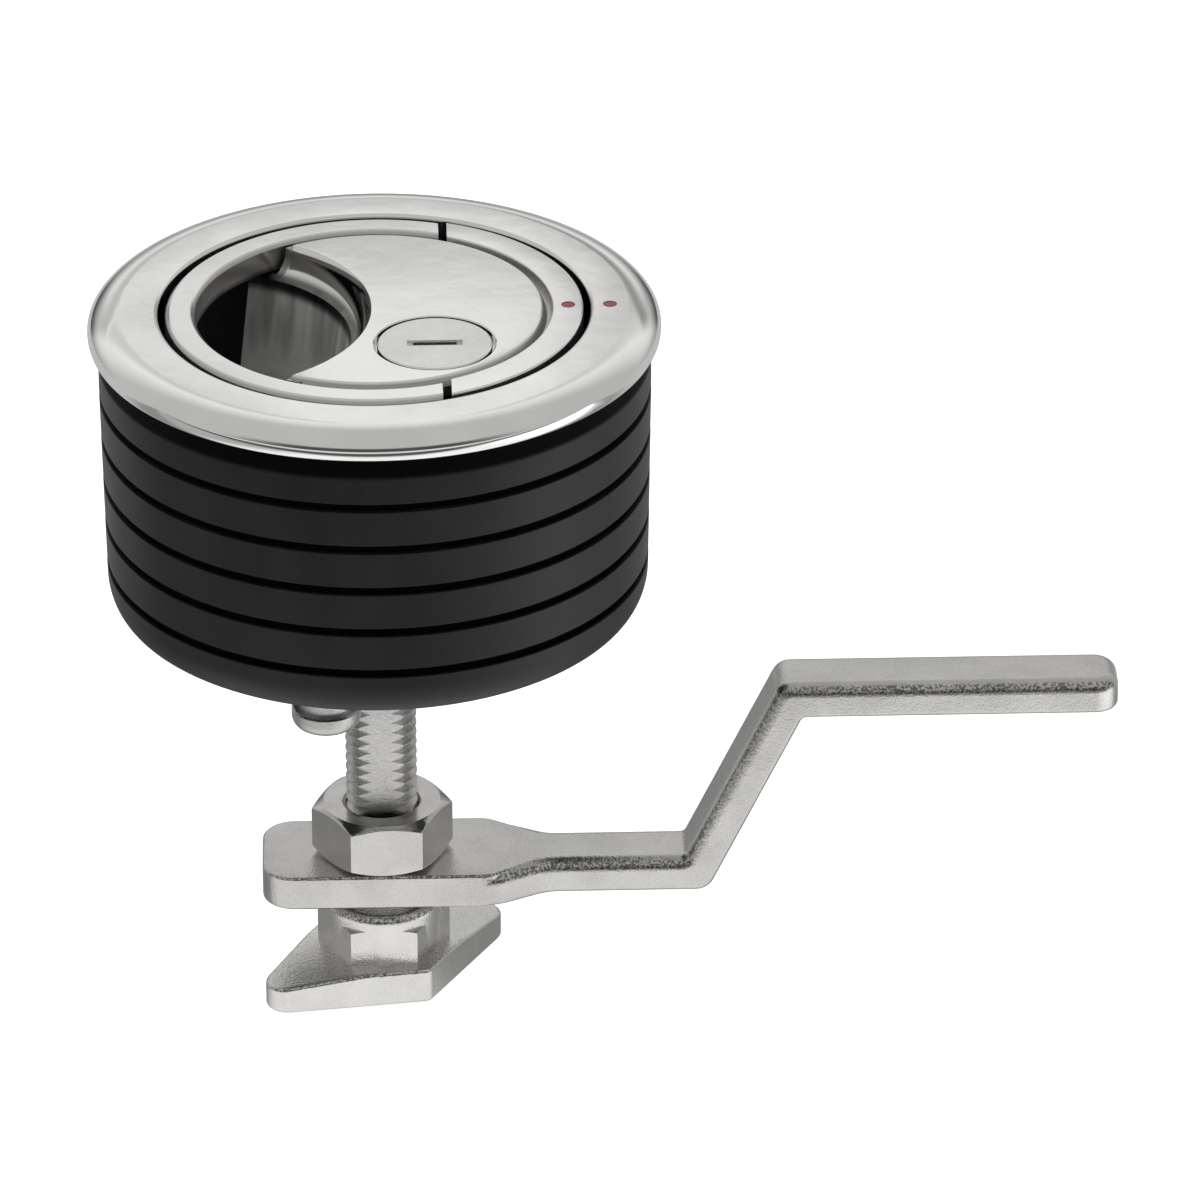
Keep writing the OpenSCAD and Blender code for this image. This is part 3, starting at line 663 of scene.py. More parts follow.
@dataclass(frozen=True)
class CastSteel:
    """Satin stainless casting with a fine grain, and a speckled painted dark reflection on its
    rounded edges.
    """

    light: Sequence[float] = (0.69, 0.68, 0.662)
    dark: Sequence[float] = (0.47, 0.462, 0.447)
    gloss: float = 0.18
    haze: float = 0.12
    grain: float = 0.8
    depth: float = 0.07
    # Strength and colour of a speckled painted dark reflection on the rounded edges.
    edge: float = 0.0
    edge_shade: Sequence[float] = (0.12, 0.117, 0.112)

    def make(self, name: str) -> bpy.types.Material:
        """Builds the material."""
        mix = Recipe(name)
        cloud = mix.ramp(mix.noise(mix.place(), 0.16, 3.0), 0.25, 0.75)
        grain = mix.noise(mix.place(), 4.2 * self.grain, 2.0, 0.6)
        coarse = mix.noise(mix.place(shift=(7, 3, 1)), 1.5 * self.grain, 2.0)
        rough = self.gloss + self.haze * grain + 0.05 * cloud
        relief = grain * 0.7 + coarse * 0.5
        mask = cloud * 0.35 + grain * 0.65
        colour = mix.tint(mask, self.light, self.dark)
        if self.edge > 0.0:
            # Speckled band of painted dark reflection on rounded edges that lean upwards and face
            # along Y.
            _, across, upward = mix.split(mix.wire("ShaderNodeNewGeometry", output="Normal"))
            band = mix.ramp(upward, 0.12, 0.38) * (1.0 - mix.ramp(upward, 0.70, 0.92))
            band = band * mix.ramp(across * across, 0.12, 0.4)
            speck = mix.ramp(mix.noise(mix.place(shift=(1, 9, 4)), 3.0, 1.0), 0.40, 0.60)
            colour = mix.tint(band * speck * self.edge, colour, self.edge_shade)
        return mix.finish({"Base Color": colour, "Roughness": rough,
                           "Normal": mix.bump(relief, self.depth)}, {"Metallic": 1.0})


@dataclass(frozen=True)
class TurnedSteel:
    """Machined steel with fine rings round an upright axis."""

    light: Sequence[float] = (0.78, 0.77, 0.75)
    dark: Sequence[float] = (0.66, 0.65, 0.63)
    gloss: float = 0.18
    rings: float = 2.2
    depth: float = 0.012
    centre: Pair = (0.0, 0.0)

    def make(self, name: str) -> bpy.types.Material:
        """Builds the material."""
        mix = Recipe(name)
        where = mix.place(shift=(-self.centre[0], -self.centre[1], 0.0))
        lines = mix.wire("ShaderNodeTexWave", {"wave_type": "RINGS", "rings_direction": "Z"},
                         {"Vector": where, "Scale": self.rings, "Distortion": 1.2, "Detail": 3.0},
                         "Fac")
        cloud = mix.ramp(mix.noise(mix.place(), 0.4, 3.0), 0.3, 0.7)
        rough = self.gloss + 0.10 * lines + 0.08 * cloud
        height = lines * 0.5 + mix.noise(mix.place(), 4.0, 2.0) * 0.4
        return mix.finish({"Base Color": mix.tint(cloud, self.light, self.dark), "Roughness": rough,
                           "Normal": mix.bump(height, self.depth)}, {"Metallic": 1.0})


@dataclass(frozen=True)
class MouldedPlastic:
    """Moulded plastic or rubber with a fine matt texture."""

    light: Sequence[float] = (0.011, 0.011, 0.0115)
    dark: Sequence[float] = (0.006, 0.006, 0.0065)
    rough: float = 0.40
    spread: float = 0.12
    depth: float = 0.03
    sheen: float = 0.36

    def shade(self, mix: Recipe) -> Union[Wire, Number]:
        """How much painted shade, drawn as the deepest black, a place has, from 0 to 1."""
        return 0.0

    def make(self, name: str) -> bpy.types.Material:
        """Builds the material."""
        mix = Recipe(name)
        shade = self.shade(mix)
        grain = mix.noise(mix.place(), 5.0, 3.0, 0.7)
        cloud = mix.ramp(mix.noise(mix.place((1, 1, 0.35)), 0.12, 4.0), 0.3, 0.7)
        rough = self.rough + self.spread * (grain - 0.5) + 0.07 * cloud + 0.25 * shade
        # Where shade is one, the colour goes to black and Metallic to 0.9: painted shade and
        # shadow.
        return mix.finish({"Base Color": mix.tint(cloud * (1.0 - shade), self.dark, self.light),
                           "Roughness": rough, "Metallic": 0.9 * shade,
                           "Normal": mix.bump(grain, self.depth)},
                          {"Specular IOR Level": self.sheen})


@dataclass(frozen=True)
class GroovedPlastic(MouldedPlastic):
    """The body's plastic, with painted shade in its grooves and a painted shadow of the flange in
    the band under it.
    """

    band_z: float = -3.0
    last_groove_z: float = -33.3
    floor_r: float = 36.3

    def shade(self, mix: Recipe) -> Wire:
        """One in the grooves (painted shade) and in the band under the flange (painted shadow),
        zero elsewhere.
        """
        side, depth, height = mix.split(mix.place())
        reach = (side * side + depth * depth) ** 0.5
        sunk = 1.0 - mix.ramp(reach, self.floor_r - 0.15, self.floor_r + 0.15)
        sunk = sunk * mix.ramp(height, self.last_groove_z - 0.1, self.last_groove_z + 0.1)
        return 1.0 - (1.0 - sunk) * (1.0 - mix.ramp(height, self.band_z - 0.35, self.band_z + 0.35))


@dataclass(frozen=True)
class Enamel:
    """Filled enamel with a slight mottling."""

    light: Sequence[float] = (0.40, 0.025, 0.03)
    dark: Sequence[float] = (0.20, 0.008, 0.012)

    def make(self, name: str) -> bpy.types.Material:
        """Builds the material."""
        mix = Recipe(name)
        cloud = mix.noise(mix.place(), 1.8, 3.0)
        return mix.finish({"Base Color": mix.tint(cloud, self.dark, self.light),
                           "Roughness": 0.25 + 0.15 * cloud,
                           "Normal": mix.bump(cloud, 0.05)}, {"Coat Weight": 0.4})


class Palette:
    """All finishes of the latch: one for each of the record's slots, and five more."""

    def __init__(self) -> None:
        """Builds each material once."""
        finishes = {
            "polished_steel": PolishedSteel(),
            "faced_steel": FacedSteel(),
            "nut_steel": CastSteel(gloss=0.13, haze=0.08, depth=0.02),
            # cast_steel and wing_steel carry the painted dark reflection on their rounded edges.
            "cast_steel": CastSteel(edge=0.9),
            "wing_steel": CastSteel((0.80, 0.79, 0.77), (0.60, 0.592, 0.577), edge=0.8),
            "satin_steel": CastSteel((0.64, 0.632, 0.62), (0.46, 0.452, 0.44), 0.16, 0.12, 1.3),
            "zinc_steel": TurnedSteel((0.72, 0.72, 0.70), (0.58, 0.58, 0.56), 0.24),
            "spring_steel": TurnedSteel((0.50, 0.50, 0.49), (0.38, 0.38, 0.37), 0.3),
            "lock_face_steel": TurnedSteel((0.88, 0.872, 0.858), (0.85, 0.842, 0.828), 0.09, 1.4,
                                           0.004, LockWorks.at),
            "lock_brass": TurnedSteel((0.80, 0.62, 0.32), (0.66, 0.50, 0.24), 0.2),
            "moulded_black": MouldedPlastic(),
            # Body plastic with painted shade in its grooves and a painted shadow under the flange.
            "grooved_shade_black": GroovedPlastic(),
            "seal_rubber": MouldedPlastic((0.03,) * 3, (0.018,) * 3, 0.62),
            # Near-black sheet of painted shade for the finger well.
            "shade_sheet_black": MouldedPlastic((0.006,) * 3, (0.003,) * 3, 0.75, sheen=0.1),
            "washer_plastic": MouldedPlastic((0.78, 0.75, 0.66), (0.68, 0.65, 0.56), 0.4),
            "red_enamel": Enamel(),
        }
        self.by_slot: dict[str, bpy.types.Material] = {
            slot: finish.make(slot.title().replace("_", "")) for slot, finish in finishes.items()}

    def dress_nodes(self) -> None:
        """Gives every CAD node that stays the material of its slot."""
        for part in frame["record"]["subparts"]:
            node = frame["nodes"][part["node"]]
            node.data.materials.clear()
            node.data.materials.append(self.by_slot[part["material_slot"]])


# ---- Sub-assemblies ----


@dataclass
class Assembly:
    """A sub-assembly: its fields are sizes, and its pieces take their finishes from the palette."""

    palette: Palette

    def hand_over(self, piece: bpy.types.Object, body: Body, slot: str,
                  stands_for: Sequence[str] = (), smooth: float = 34.0, finish: str = "") -> None:
        """Finishes a piece: metres, smooth shading, material and body; the slot's own material is
        used where no finish is given.

        Args:
            piece: Solid in millimetres.
            body: Body that it rides on.
            slot: Material slot of the record.
            stands_for: CAD nodes that it replaces.
            smooth: Edges flatter than this many degrees are shaded smooth.
            finish: The palette's material, where it isn't the slot's own.
        """
        Bench.take(piece)
        piece.scale = (MM, MM, MM)
        Bench.settle()
        bpy.ops.object.shade_smooth_by_angle(angle=math.radians(smooth))
        Bench.modify(piece, "WEIGHTED_NORMAL", keep_sharp=True, weight=60)
        piece.data.materials.clear()
        piece.data.materials.append(self.palette.by_slot[finish or slot])
        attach(piece, body.value)
        if stands_for:
            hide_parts(*stands_for)
        log.info("%s: %d faces on %s", piece.name, len(piece.data.polygons), body.value)


@dataclass
class Flange(Assembly):
    """Polished flange, its enamel dot and the moulded body below it."""

    top: float = FACE_Z
    bore: float = 28.95
    rim_r: float = 38.5
    rim_w: float = 4.2
    under: float = 1.4
    skirt_r: float = 31.15
    skirt_z: float = -13.8
    mark_x: float = 31.62
    mark_r: float = 0.95
    body_r: float = 37.15
    draft: float = 0.9
    grooves: tuple[float, ...] = (-7.4, -13.59, -19.78, -25.97, -32.16)
    body_z: float = -39.0
    neck_z: float = -44.0
    stem_r: float = 10.06
    neck_seal_r: float = 11.95
    room_r: float = 28.6
    thread_r: float = 31.21
    seal_groove: Pair = (32.45, 34.05)

    def bezel(self) -> None:
        """Builds the flange with its rounded rim, and drills it for the dot."""
        flat = self.rim_r - self.rim_w
        profile = [(self.bore, self.skirt_z),
                   *arc((self.bore + 0.6, self.top - 0.6), 0.6, 180, 90), (flat - 0.25, self.top),
                   *arc((flat, self.under), self.rim_w, 90, 0, 16, self.top - self.under),
                   *arc((self.rim_r - 0.63, self.under), 0.63, -10, -90, 6, self.under),
                   (37.3, 0.0), (37.3, 0.4), (self.skirt_r, 0.4), (self.skirt_r, self.skirt_z)]
        piece = Bench.lathe("bezel_polished", profile, ROUND)
        Bench.drill(piece, self.mark_r, (self.mark_x, 0), self.top - 0.5, self.top + 1)
        self.hand_over(piece, Body.HOUSING, "polished_steel", ["bezel"])

    def dot(self, name: str, x: float, body: Body, node: str) -> None:
        """Builds one filled enamel dot.

        Args:
            name: Name of the piece.
            x: Place along X.
            body: Body that it rides on.
            node: CAD node that it replaces.
        """
        outline = ((0.0, 0.49), (0.9, 0.49), (0.9, 0.08), (0.8, 0.03), (0.5, 0.01), (0.0, 0.0))
        piece = Bench.lathe(name, [(r, self.top - deep) for r, deep in outline], 32, (x, 0.0))
        self.hand_over(piece, body, "red_enamel", [node], 50)

    def wall(self, z: float) -> float:
        """Radius of the moulded wall at a height."""
        return self.body_r - max(0.0, self.grooves[0] - z) * math.tan(math.radians(self.draft))

    def moulding(self) -> None:
        """Builds the black body with its grooves, rounded bottom edge, floor and neck."""
        band = ((0.75, 0.4), (0.75, -0.6), (0.6, -1.4), (0.3, -2.3), (0.06, -2.9), (0.0, -3.3))
        outer: list[Pair] = [(self.body_r - sunk, z) for sunk, z in band]
        half, deep = 0.62, 1.25
        side = ((0.0, half + 0.06), (0.04, half + 0.04), (0.06, half), (deep - 0.2, half),
                (deep, half - 0.2))
        groove = [*side, *((sunk, -z) for sunk, z in reversed(side))]
        for z in self.grooves:
            outer += [(self.wall(z) - sunk, z + up) for sunk, up in groove]
        edge_top = self.body_z + 4.8
        r = self.wall(edge_top)
        outer += arc((r - 3.1, edge_top), 3.1, 0, -90, 14, 4.8)
        stem, seal, room, thread = self.stem_r, self.neck_seal_r, self.room_r, self.thread_r
        near, far = self.seal_groove
        profile = [*outer, *arc((20.1, self.body_z - 0.6), 0.6, 90, 180, 4),
                   (19.5, self.neck_z + 0.4), (19.1, self.neck_z), (stem, self.neck_z),
                   (stem, -42.35), (seal, -42.35), (seal, -40.55), (stem, -40.55), (stem, -36.0),
                   (room, -36.0), (room, -14.2), (thread, -14.2), (thread, 0.4), (near, 0.4),
                   (near, -1.1), (far, -1.1), (far, 0.4)]
        piece = Bench.lathe("body_moulded", profile, ROUND)
        Bench.drill(piece, 2.5, StopWorks.at, -45, -37.8)
        # The body's finish paints shade in its grooves and a shadow under the flange.
        self.hand_over(piece, Body.HOUSING, "moulded_black", ["housing"], finish="grooved_shade_black")

    def build(self) -> None:
        """Builds the flange, its dot and the body."""
        self.bezel()
        self.dot("bezel_dot", self.mark_x, Body.HOUSING, "bezel_mark")
        self.moulding()


@dataclass
class StopWorks(Assembly):
    """Shoulder screw that limits the turn, seen under the body."""

    at = (15.1 * math.cos(math.radians(241)), 15.1 * math.sin(math.radians(241)))
    neck_z: float = Flange.neck_z
    shoulder: float = 3.8
    head_r: float = 4.72
    head_top: float = -49.3
    head_bot: float = -52.3

    def build(self) -> None:
        """Builds the screw with a rounded head and a hexagon socket."""
        profile = [(0.0, -38.0), (2.2, -38.0), (2.45, -38.4), (2.45, self.neck_z),
                   (self.shoulder, self.neck_z), (self.shoulder, self.head_top),
                   (self.head_r - 0.25, self.head_top), (self.head_r, self.head_top - 0.25),
                   *arc((self.head_r - 1.6, self.head_bot + 1.7), 1.6, 0, -90, 8, 1.7),
                   (0.0, self.head_bot)]
        piece = Bench.lathe("stop_screw_turned", profile, 72, self.at)
        Bench.drill(piece, 2.3, self.at, self.head_bot - 1, self.head_bot + 1.9, 6)
        self.hand_over(piece, Body.HOUSING, "zinc_steel", ["stop_screw"], finish="satin_steel")


@dataclass
class LockWorks(Assembly):
    """Lock face with its keyway, and the plug below it."""

    at = (8.0, -11.0)
    face_r: float = 7.7
    top: float = FACE_Z
    plug_r: float = 3.5
    plug_z: float = -13.1
    keyway: tuple[tuple[float, float, float], ...] = ((3.7, 0.78, 0.9), (2.9, 0.42, 6.0))

    def build(self) -> None:
        """Builds the round face, cuts the keyway and drills the plug."""
        profile = [(0.0, self.plug_z), (self.plug_r, self.plug_z), (self.plug_r, 2.3),
                   (self.face_r - 0.1, 2.3), (self.face_r, 2.4),
                   *arc((self.face_r - 0.3, self.top - 0.3), 0.3, 0, 90, 5), (0.0, self.top)]
        piece = Bench.lathe("lock_face", profile, 120, self.at)
        x, y = self.at
        for half_l, half_w, deep in self.keyway:
            key = Bench.block("key", (x - half_l, y - half_w, self.top - deep),
                              (x + half_l, y + half_w, self.top + 1))
            Bench.combine(piece, key, Join.CUT)
        Bench.drill(piece, 1.5, self.at, self.plug_z - 1, self.plug_z + 4, 24)
        self.hand_over(piece, Body.LOCK, "lock_face_steel", ["lock_plug"])


@dataclass
class TurningFace(Assembly):
    """Polished casting with disc, half ring, finger well and skirt."""

    top: float = FACE_Z
    outer: float = 28.05
    disc: float = 22.5
    slope_end: float = 23.35
    ring_in: float = 23.9
    skirt: float = 25.4
    bottom: float = -28.0
    disc_z: float = 1.1
    ledge_z: float = -2.5
    seat_z: float = -0.35
    split: float = 10.05
    well_x: float = -24.5
    well_r: float = 23.8
    well_z: float = -15.1
    lip_w: float = 2.4
    lip_h: float = 4.6
    mark_x: float = 26.02
    lock_boss: float = 7.2
    lock_bore: float = 5.22
    lock_seat: float = 8.1
    pivot: Pair = (2.8, 0.6)
    ear: Pair = (21.5, 23.1)
    ear_r: float = 1.95
    swing_r: float = 9.26
    cheek: Pair = (18.95, 21.65)

    def turned(self) -> bpy.types.Object:
        """Returns the lathe-turned blank with the shallow groove all round."""
        top = self.top
        profile = [(0.0, self.disc_z), (21.95, self.disc_z), (21.95, self.ledge_z),
                   (self.skirt, self.ledge_z), (self.skirt, self.bottom), (self.outer, self.bottom),
                   (self.outer, -22.95), (26.65, -22.95), (26.65, -21.05), (self.outer, -21.05),
                   *arc((self.outer - 0.28, top - 0.28), 0.28, 0, 90, 5),
                   *arc((self.ring_in + 0.2, top - 0.2), 0.2, 90, 180, 4),
                   (self.ring_in - 0.1, top - 1.3), (self.slope_end - 0.15, top - 1.3),
                   (self.disc + 0.13, top - 0.12), (self.disc, top - 0.03),
                   (self.disc - 0.15, top), (0.0, top)]
        return Bench.lathe("face_polished", profile, ROUND)

    def well(self, name: str, grow: float, floor: float, lid: float, limit: float
             ) -> bpy.types.Object:
        """Returns the well's solid, grown by a wall and cut off by the skirt.

        Args:
            name: Name of the new object.
            grow: Wall outside the well's own surface.
            floor: Height of its lower face.
            lid: Height of its upper face.
            limit: Radius about the latch axis where it ends.

        Returns:
            The closed solid.
        """
        lip = [(self.well_r + grow - self.lip_w * (1 - math.cos(math.radians(a))),
                self.top - self.lip_h * math.sin(math.radians(a))) for a in range(0, 91, 9)]
        lip = [(r, z) for r, z in lip if z < lid - 0.05]
        lean = math.tan(math.radians(7))
        low_r = self.well_r - self.lip_w + grow - (self.top - self.lip_h - floor) * lean
        foot = arc((low_r - 1.6, floor + 1.6), 1.6, 0, -90, 6) if grow == 0 else [(low_r, floor)]
        if grow == 0:
            lip = [(self.well_r + 1.6, self.top + 0.02), (self.well_r + 0.35, self.top), *lip[1:]]
        profile = [(0.0, lid), (lip[0][0], lid), *lip, *foot, (0.0, floor)]
        piece = Bench.lathe(name, profile, 160, (self.well_x, 0.0))
        keep = Bench.lathe("keep", [(0.0, floor - 2), (limit, floor - 2), (limit, lid + 2),
                                    (0.0, lid + 2)], ROUND)
        Bench.combine(piece, keep, Join.KEEP)
        return piece

    def pockets(self, piece: bpy.types.Object) -> None:
        """Cuts the room for the handle's lugs and the yoke's cheeks, on both sides."""
        px = self.pivot[0]
        swing = Bench.axle("swing", self.swing_r, self.pivot, self.ear[0] - 0.1, 32, 96)
        Bench.combine(swing, Bench.block("limit", (px - 5, 10, -30), (40, 40, 0.6)), Join.KEEP)
        slot = Bench.block("slot", (-2.55, self.cheek[0], -3.6), (12.6, self.cheek[1], self.disc_z))
        for cutter in (swing, slot):
            twin = Bench.mirrored(cutter)
            Bench.combine(piece, cutter, Join.CUT)
            Bench.combine(piece, twin, Join.CUT)

    def ears(self, piece: bpy.types.Object) -> None:
        """Adds the two ears that hold the pivot pins, and drills them."""
        px, pz = self.pivot
        for side in (1, -1):
            near, far = sorted((side * self.ear[0], side * self.ear[1]))
            lug = Bench.axle("ear", self.ear_r, self.pivot, near, far, 40)
            web = Bench.block("web", (px - self.ear_r, near, pz), (px + self.ear_r, far, pz + 1.4))
            Bench.combine(lug, web, Join.ADD)
            Bench.combine(piece, lug, Join.ADD)
            pin = Bench.axle("pin", 1.22, self.pivot, near - 0.2, far + 0.2, 32)
            Bench.combine(piece, pin, Join.CUT)

    def build(self) -> None:
        """Builds the casting from its blank by adding and cutting, then hands it over."""
        piece = self.turned()
        Bench.combine(piece, self.well("well_wall", 1.8, -16.6, 3.3, 27.2), Join.ADD)
        zone = Bench.lathe("zone", [(self.slope_end, self.seat_z), (31.0, self.seat_z),
                                    (31.0, 6.0), (self.slope_end, 6.0)], ROUND)
        Bench.slice(zone, (self.split, 0, 0), (1, 0, 0))
        Bench.combine(piece, zone, Join.CUT)
        Bench.combine(piece, self.well("well_room", 0.0, self.well_z, 6.0, 26.4), Join.CUT)
        self.pockets(piece)
        self.ears(piece)
        boss = [(0.0, -2.9), (self.lock_boss, -2.9), (self.lock_boss, 1.5), (0.0, 1.5)]
        Bench.combine(piece, Bench.lathe("boss", boss, 72, LockWorks.at), Join.ADD)
        seat = self.lock_seat
        recess = [(0.0, -4.0), (self.lock_bore, -4.0), (self.lock_bore, 2.0), (seat, 2.0),
                  (seat, 3.75), (seat + 0.18, 3.93), (seat + 0.18, 6.0), (0.0, 6.0)]
        Bench.combine(piece, Bench.lathe("recess", recess, 120, LockWorks.at), Join.CUT)
        Bench.drill(piece, Flange.mark_r, (self.mark_x, 0), self.top - 0.5, self.top + 1)
        self.hand_over(piece, Body.ROTOR, "polished_steel", ["rotor"], 30, finish="faced_steel")
        # A thin dark sheet of painted shade covers the far wall of the finger well.
        self.shade_sheet()

    def shade_sheet(self) -> None:
        """Lays a thin dark sheet of painted shade over the far half of the finger well's outer
        wall.
        """
        piece = self.well("well_shade_sheet", 0.0, self.well_z, 6.0, 26.4)
        skin = Bench.lathe("skin", [(26.15, -15.0), (26.38, -15.0), (26.38, self.seat_z - 0.1),
                                    (26.15, self.seat_z - 0.1)], ROUND)
        Bench.combine(piece, skin, Join.KEEP)
        Bench.combine(piece, Bench.block("front", (-40, -40, -30), (0, 2, 10)), Join.CUT)
        self.hand_over(piece, Body.ROTOR, "seal_rubber", finish="shade_sheet_black")


@dataclass
class Handle(Assembly):
    """C-shaped lifting handle with knuckles and crank lugs."""

    top: float = FACE_Z
    bottom: float = -0.1
    outer: float = 28.05
    inner: float = 24.0
    end: float = 8.95
    pivot: Pair = TurningFace.pivot
    crank: Pair = (9.5, -1.6)
    lug_y: float = 23.4
    lug_t: float = 2.0
    pivot_r: float = 1.26
    crank_r: float = 1.22

    def ring(self) -> bpy.types.Object:
        """Returns the C ring, cut off square and softened at its ends."""
        top, low = self.top, self.bottom
        r, out = self.inner, self.outer
        profile = [(r + 0.2, low), (out - 0.2, low), (out, low + 0.2), (out, top - 0.72),
                   (out - 0.09, top - 0.5), (out - 0.5, top - 0.09), (out - 0.72, top),
                   (r + 0.7, top), (r + 0.5, top - 0.09), (r + 0.09, top - 0.5), (r, top - 0.7),
                   (r, low + 0.2)]
        piece = Bench.lathe("handle_polished", profile, ROUND)
        Bench.slice(piece, (self.end, 0, 0), (1, 0, 0))
        Bench.soften(piece, 0.2, 40.0, 2, True, self.end - 0.01)
        return piece

    def lugs(self, piece: bpy.types.Object) -> None:
        """Adds a knuckle and a crank lug on each side, and drills them."""
        px, pz = self.pivot
        cx, cz = self.crank
        down = Vector((-2.2, -6.7)).normalized()
        outline = [(px - 1.0, self.bottom + 0.2), (px + 2.3 * down.x, pz + 2.3 * down.y),
                   (cx + 1.9 * down.x, cz + 1.9 * down.y), (cx, cz + 1.9),
                   (self.end, self.bottom + 0.2)]
        for side in (1, -1):
            near, far = sorted((side * self.lug_y, side * (self.lug_y + self.lug_t)))
            lug = Bench.plate("lug", outline, near, far, True)
            Bench.combine(lug, Bench.axle("eye", 1.9, self.crank, near, far), Join.ADD)
            near, far = sorted((side * self.lug_y, side * (self.lug_y + 3.2)))
            Bench.combine(lug, Bench.axle("knuckle", 2.3, self.pivot, near, far), Join.ADD)
            Bench.combine(piece, lug, Join.ADD)
        for at, r in ((self.pivot, self.pivot_r), (self.crank, self.crank_r)):
            for near, far in ((22.0, 29.0), (-29.0, -22.0)):
                Bench.combine(piece, Bench.axle("hole", r, at, near, far, 32), Join.CUT)

    def build(self) -> None:
        """Builds the handle and hands it over."""
        piece = self.ring()
        self.lugs(piece)
        self.hand_over(piece, Body.HANDLE, "polished_steel", ["handle"], 30, finish="faced_steel")


@dataclass
class Shaft(Assembly):
    """Threaded shaft with two flats, and its head."""

    crest: float = 4.925
    root: float = 4.02
    pitch: float = 1.5
    flat: float = 3.8
    flats_top: float = -38.8
    end: float = -97.6
    head_top: float = -17.6
    web_top: float = -19.6
    web_bot: float = -22.6

    def thread(self) -> None:
        """Winds the thread, then cuts its flats and its ends."""
        p = self.pitch
        profile = [(self.root, 0.0), (self.root, p * 0.125), (self.crest - 0.05, p * 0.43),
                   (self.crest, p * 0.47), (self.crest, p * 0.53), (self.crest - 0.05, p * 0.57),
                   (self.root, p * 0.875), (self.root, p)]
        turns = int((self.flats_top - self.end) / p) + 4
        section = [(r, self.end - 2 * p + z) for r, z in profile]
        piece = Bench.wind("shaft_thread", section, False, p, turns, 56)
        Bench.tidy(CLEAN)
        Bench.slice(piece, (0, 0, self.end), (0, 0, -1))
        Bench.slice(piece, (0, 0, self.flats_top), (0, 0, 1))
        cone = Bench.lathe("cone", [(0.0, self.end - 0.01), (self.root - 0.1, self.end - 0.01),
                                    (self.crest + 0.2, self.end + 1.1), (self.crest + 0.2, -38.0),
                                    (0.0, -38.0)], 96)
        Bench.combine(piece, cone, Join.KEEP)
        slab = Bench.block("slab", (-8, -self.flat, self.end - 2), (8, self.flat, -37))
        Bench.combine(piece, slab, Join.KEEP)
        self.hand_over(piece, Body.SHAFT, "satin_steel", ["shaft"], 38)

    def head(self) -> None:
        """Turns the plain upper shaft with its clip groove and head."""
        r, deep = self.crest, self.crest - 0.6
        profile = [(0.0, self.flats_top), (r, self.flats_top), (r, self.web_bot - 0.8),
                   (deep, self.web_bot - 0.8), (deep, self.web_bot), (r, self.web_bot),
                   (r, self.web_top), (6.3, self.web_top), (6.5, self.web_top + 0.2),
                   *arc((6.1, self.head_top - 0.4), 0.4, 0, 90, 4), (0.0, self.head_top)]
        piece = Bench.lathe("shaft_head", profile, 72)
        self.hand_over(piece, Body.SHAFT, "satin_steel")

    def build(self) -> None:
        """Builds the threaded and the plain part of the shaft."""
        self.thread()
        self.head()


@dataclass
class ReturnSpring(Assembly):
    """Coil spring under the yoke, which shortens as the shaft goes down."""

    coil_r: float = 9.4
    wire_r: float = 0.55
    turns: int = 4
    seat_z: float = -33.0
    yoke_z: float = Shaft.web_bot
    travel: float = 4.5

    def build(self) -> None:
        """Winds the wire between its seat and the yoke, closes its ends and gives the piece its own
        mesh.
        """
        low, high = self.seat_z + self.wire_r + 0.02, self.yoke_z - self.wire_r - 0.02
        section = arc((self.coil_r, low), self.wire_r, 0, 330, 11)
        pitch = (high - low) / self.turns
        piece = Bench.wind("spring_coil", section, True, pitch, self.turns, 48)
        Bench.close(piece)
        self.hand_over(piece, Body.ROTOR, "spring_steel", ["return_spring"], 50)
        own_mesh(piece)


